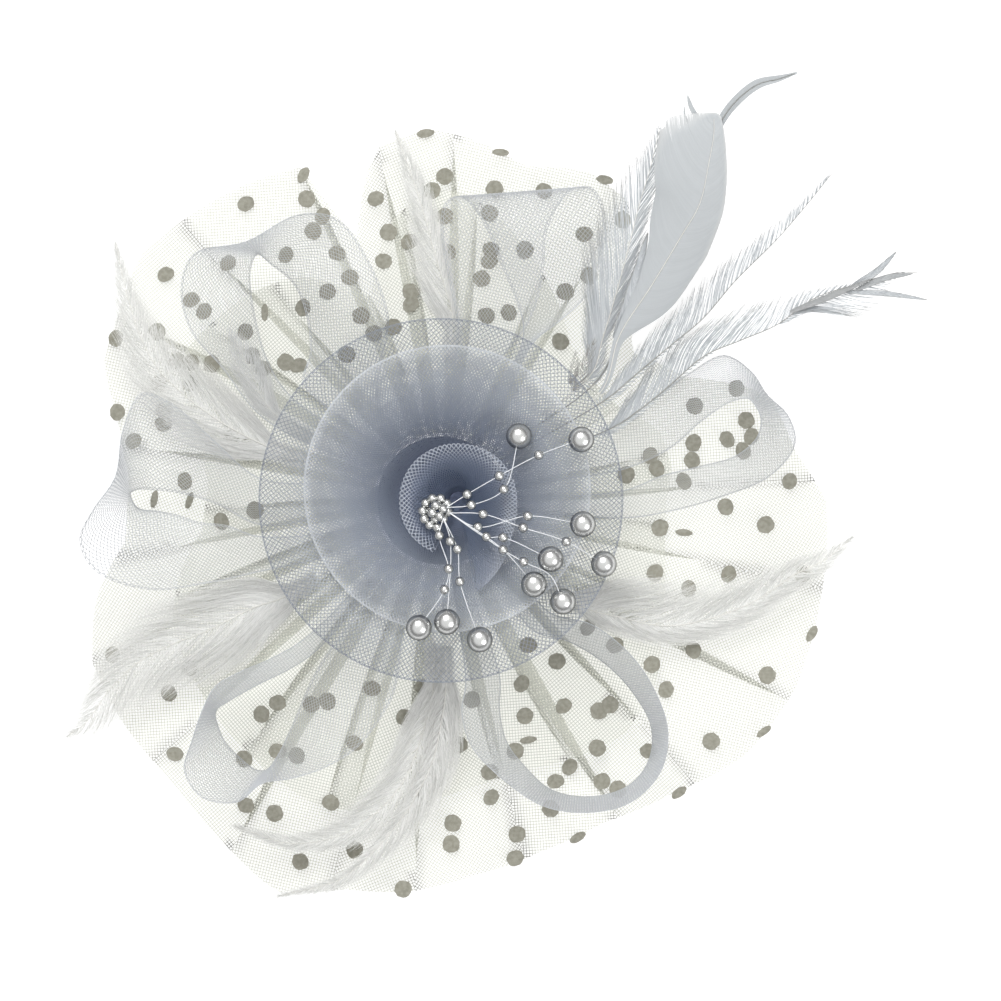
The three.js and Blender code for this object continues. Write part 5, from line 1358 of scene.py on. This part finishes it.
crin_grey = crin_material("crin_grey", (1 / LOOP_TONE_REACH, 1 / LOOP_TONE_REACH, 0), LOOP_TONES)
# The flower's materials: painted shade towards the middle and painted highlight at the rims, from the tone
# tables
crin_blue = crin_material("crin_blue", (1 / OUTER_RADIUS, 1 / OUTER_RADIUS, 0), OUTER_TONES_PAINTED_SHADE)
crin_inner = crin_material("crin_inner", (1 / INNER_RADIUS, 1 / INNER_RADIUS, 0), INNER_TONES_PAINTED_LIGHT,
                           middle=(INNER_EAST, INNER_NORTH, 0))
# The heart's tones follow its height and its place east and north: painted shade inside, painted highlight
# at the rim
heart_shade_scale = [1 / span for span in (*HEART_TONE_SPANS, HEART_Z + HEART_HEIGHT)]
crin_heart_shaded = crin_material("crin_heart_shaded", heart_shade_scale, HEART_TONES_PAINTED_LIGHT)
tulle_net = tulle_material()
flock = dot_material()
barb_blue = feather_material("barb_blue", (0.42, 0.445, 0.47), (0.62, 0.645, 0.66), (0.27, 0.265, 0.25))
barb_smooth = feather_material("barb_smooth", (0.5, 0.525, 0.54), (0.54, 0.565, 0.58), (0.62, 0.63, 0.63))
barb_pale = feather_material("barb_pale", (0.6, 0.605, 0.585), (0.9, 0.9, 0.88), (0.8, 0.8, 0.78))
quill_white = horn_material("quill_white", (0.74, 0.73, 0.69), (0.84, 0.83, 0.79))
quill_grey = horn_material("quill_grey", (0.28, 0.28, 0.26), (0.38, 0.38, 0.36))
lustre = pearl_material()
nylon = horn_material("nylon", (0.84, 0.86, 0.88), (0.93, 0.95, 0.97))

tulle_lower, lower_cut = tulle("tulle_lower", "veil_lower", LOWER_PLEATS, lower_veil_height, 0, tulle_net)
tulle_upper, upper_cut = tulle("tulle_upper", "veil_upper", UPPER_PLEATS, upper_veil_height, 2, tulle_net)
dot_parts = [dot_mesh(east, north) for east, north in DOTS]
dot_parts += [dot_mesh(*row) for row in NARROW_DOTS]
dot_verts, dot_faces = join(dot_parts)
dots = new_piece("tulle_dots", dot_verts, dot_faces, flock, smooth=False)

for loop in LOOPS:
    braid_loop(loop, crin_grey)

crin_disc("flower_outer", OUTER_RADIUS, OUTER_CRIN_FOOT, CRIN_PITCH, 0, 0, outer_height, crin_blue)
crin_disc("flower_inner", INNER_RADIUS, INNER_CRIN_FOOT, INNER_PITCH, INNER_EAST, INNER_NORTH, inner_height,
          crin_inner)
crin_heart(crin_heart_shaded)
cluster(lustre)
for plan in SPRAYS:
    spray(plan, nylon, lustre)

LOOKS = {
    "feather_blade": (SMOOTH, barb_smooth, quill_white),
    "feather_curl": (CURL, barb_smooth, quill_grey),
    "feather_fan": (FAN, barb_blue, quill_white),
    "feather_long_high": (HAIR, barb_blue, quill_grey),
    "feather_long_low": (HAIR, barb_blue, quill_grey),
}
for feather in FEATHERS:
    if feather["name"] in LOOKS:
        feather_pieces(feather, *LOOKS[feather["name"]], "feather_blue")
    else:
        feather_pieces(feather, DOWNY, barb_pale, quill_white, "feather_pale")

felt_blue, felt_tree, felt_shader = new_material("felt_blue", (0.12, 0.15, 0.24), 0.95, sheen=0.5)
bumpy(felt_tree, felt_shader, 1800, 0.5, 0.0002)
mottle(felt_tree, felt_shader, (0.09, 0.11, 0.18), (0.15, 0.18, 0.28), 700)
felt_disc(felt_blue)
steel, steel_tree, steel_shader = new_material("clip_steel", (0.55, 0.56, 0.58), 0.32, metallic=1.0)
bumpy(steel_tree, steel_shader, 400, 0.08, 0.0001)
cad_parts["hair_clip"].material_slots[0].material = steel
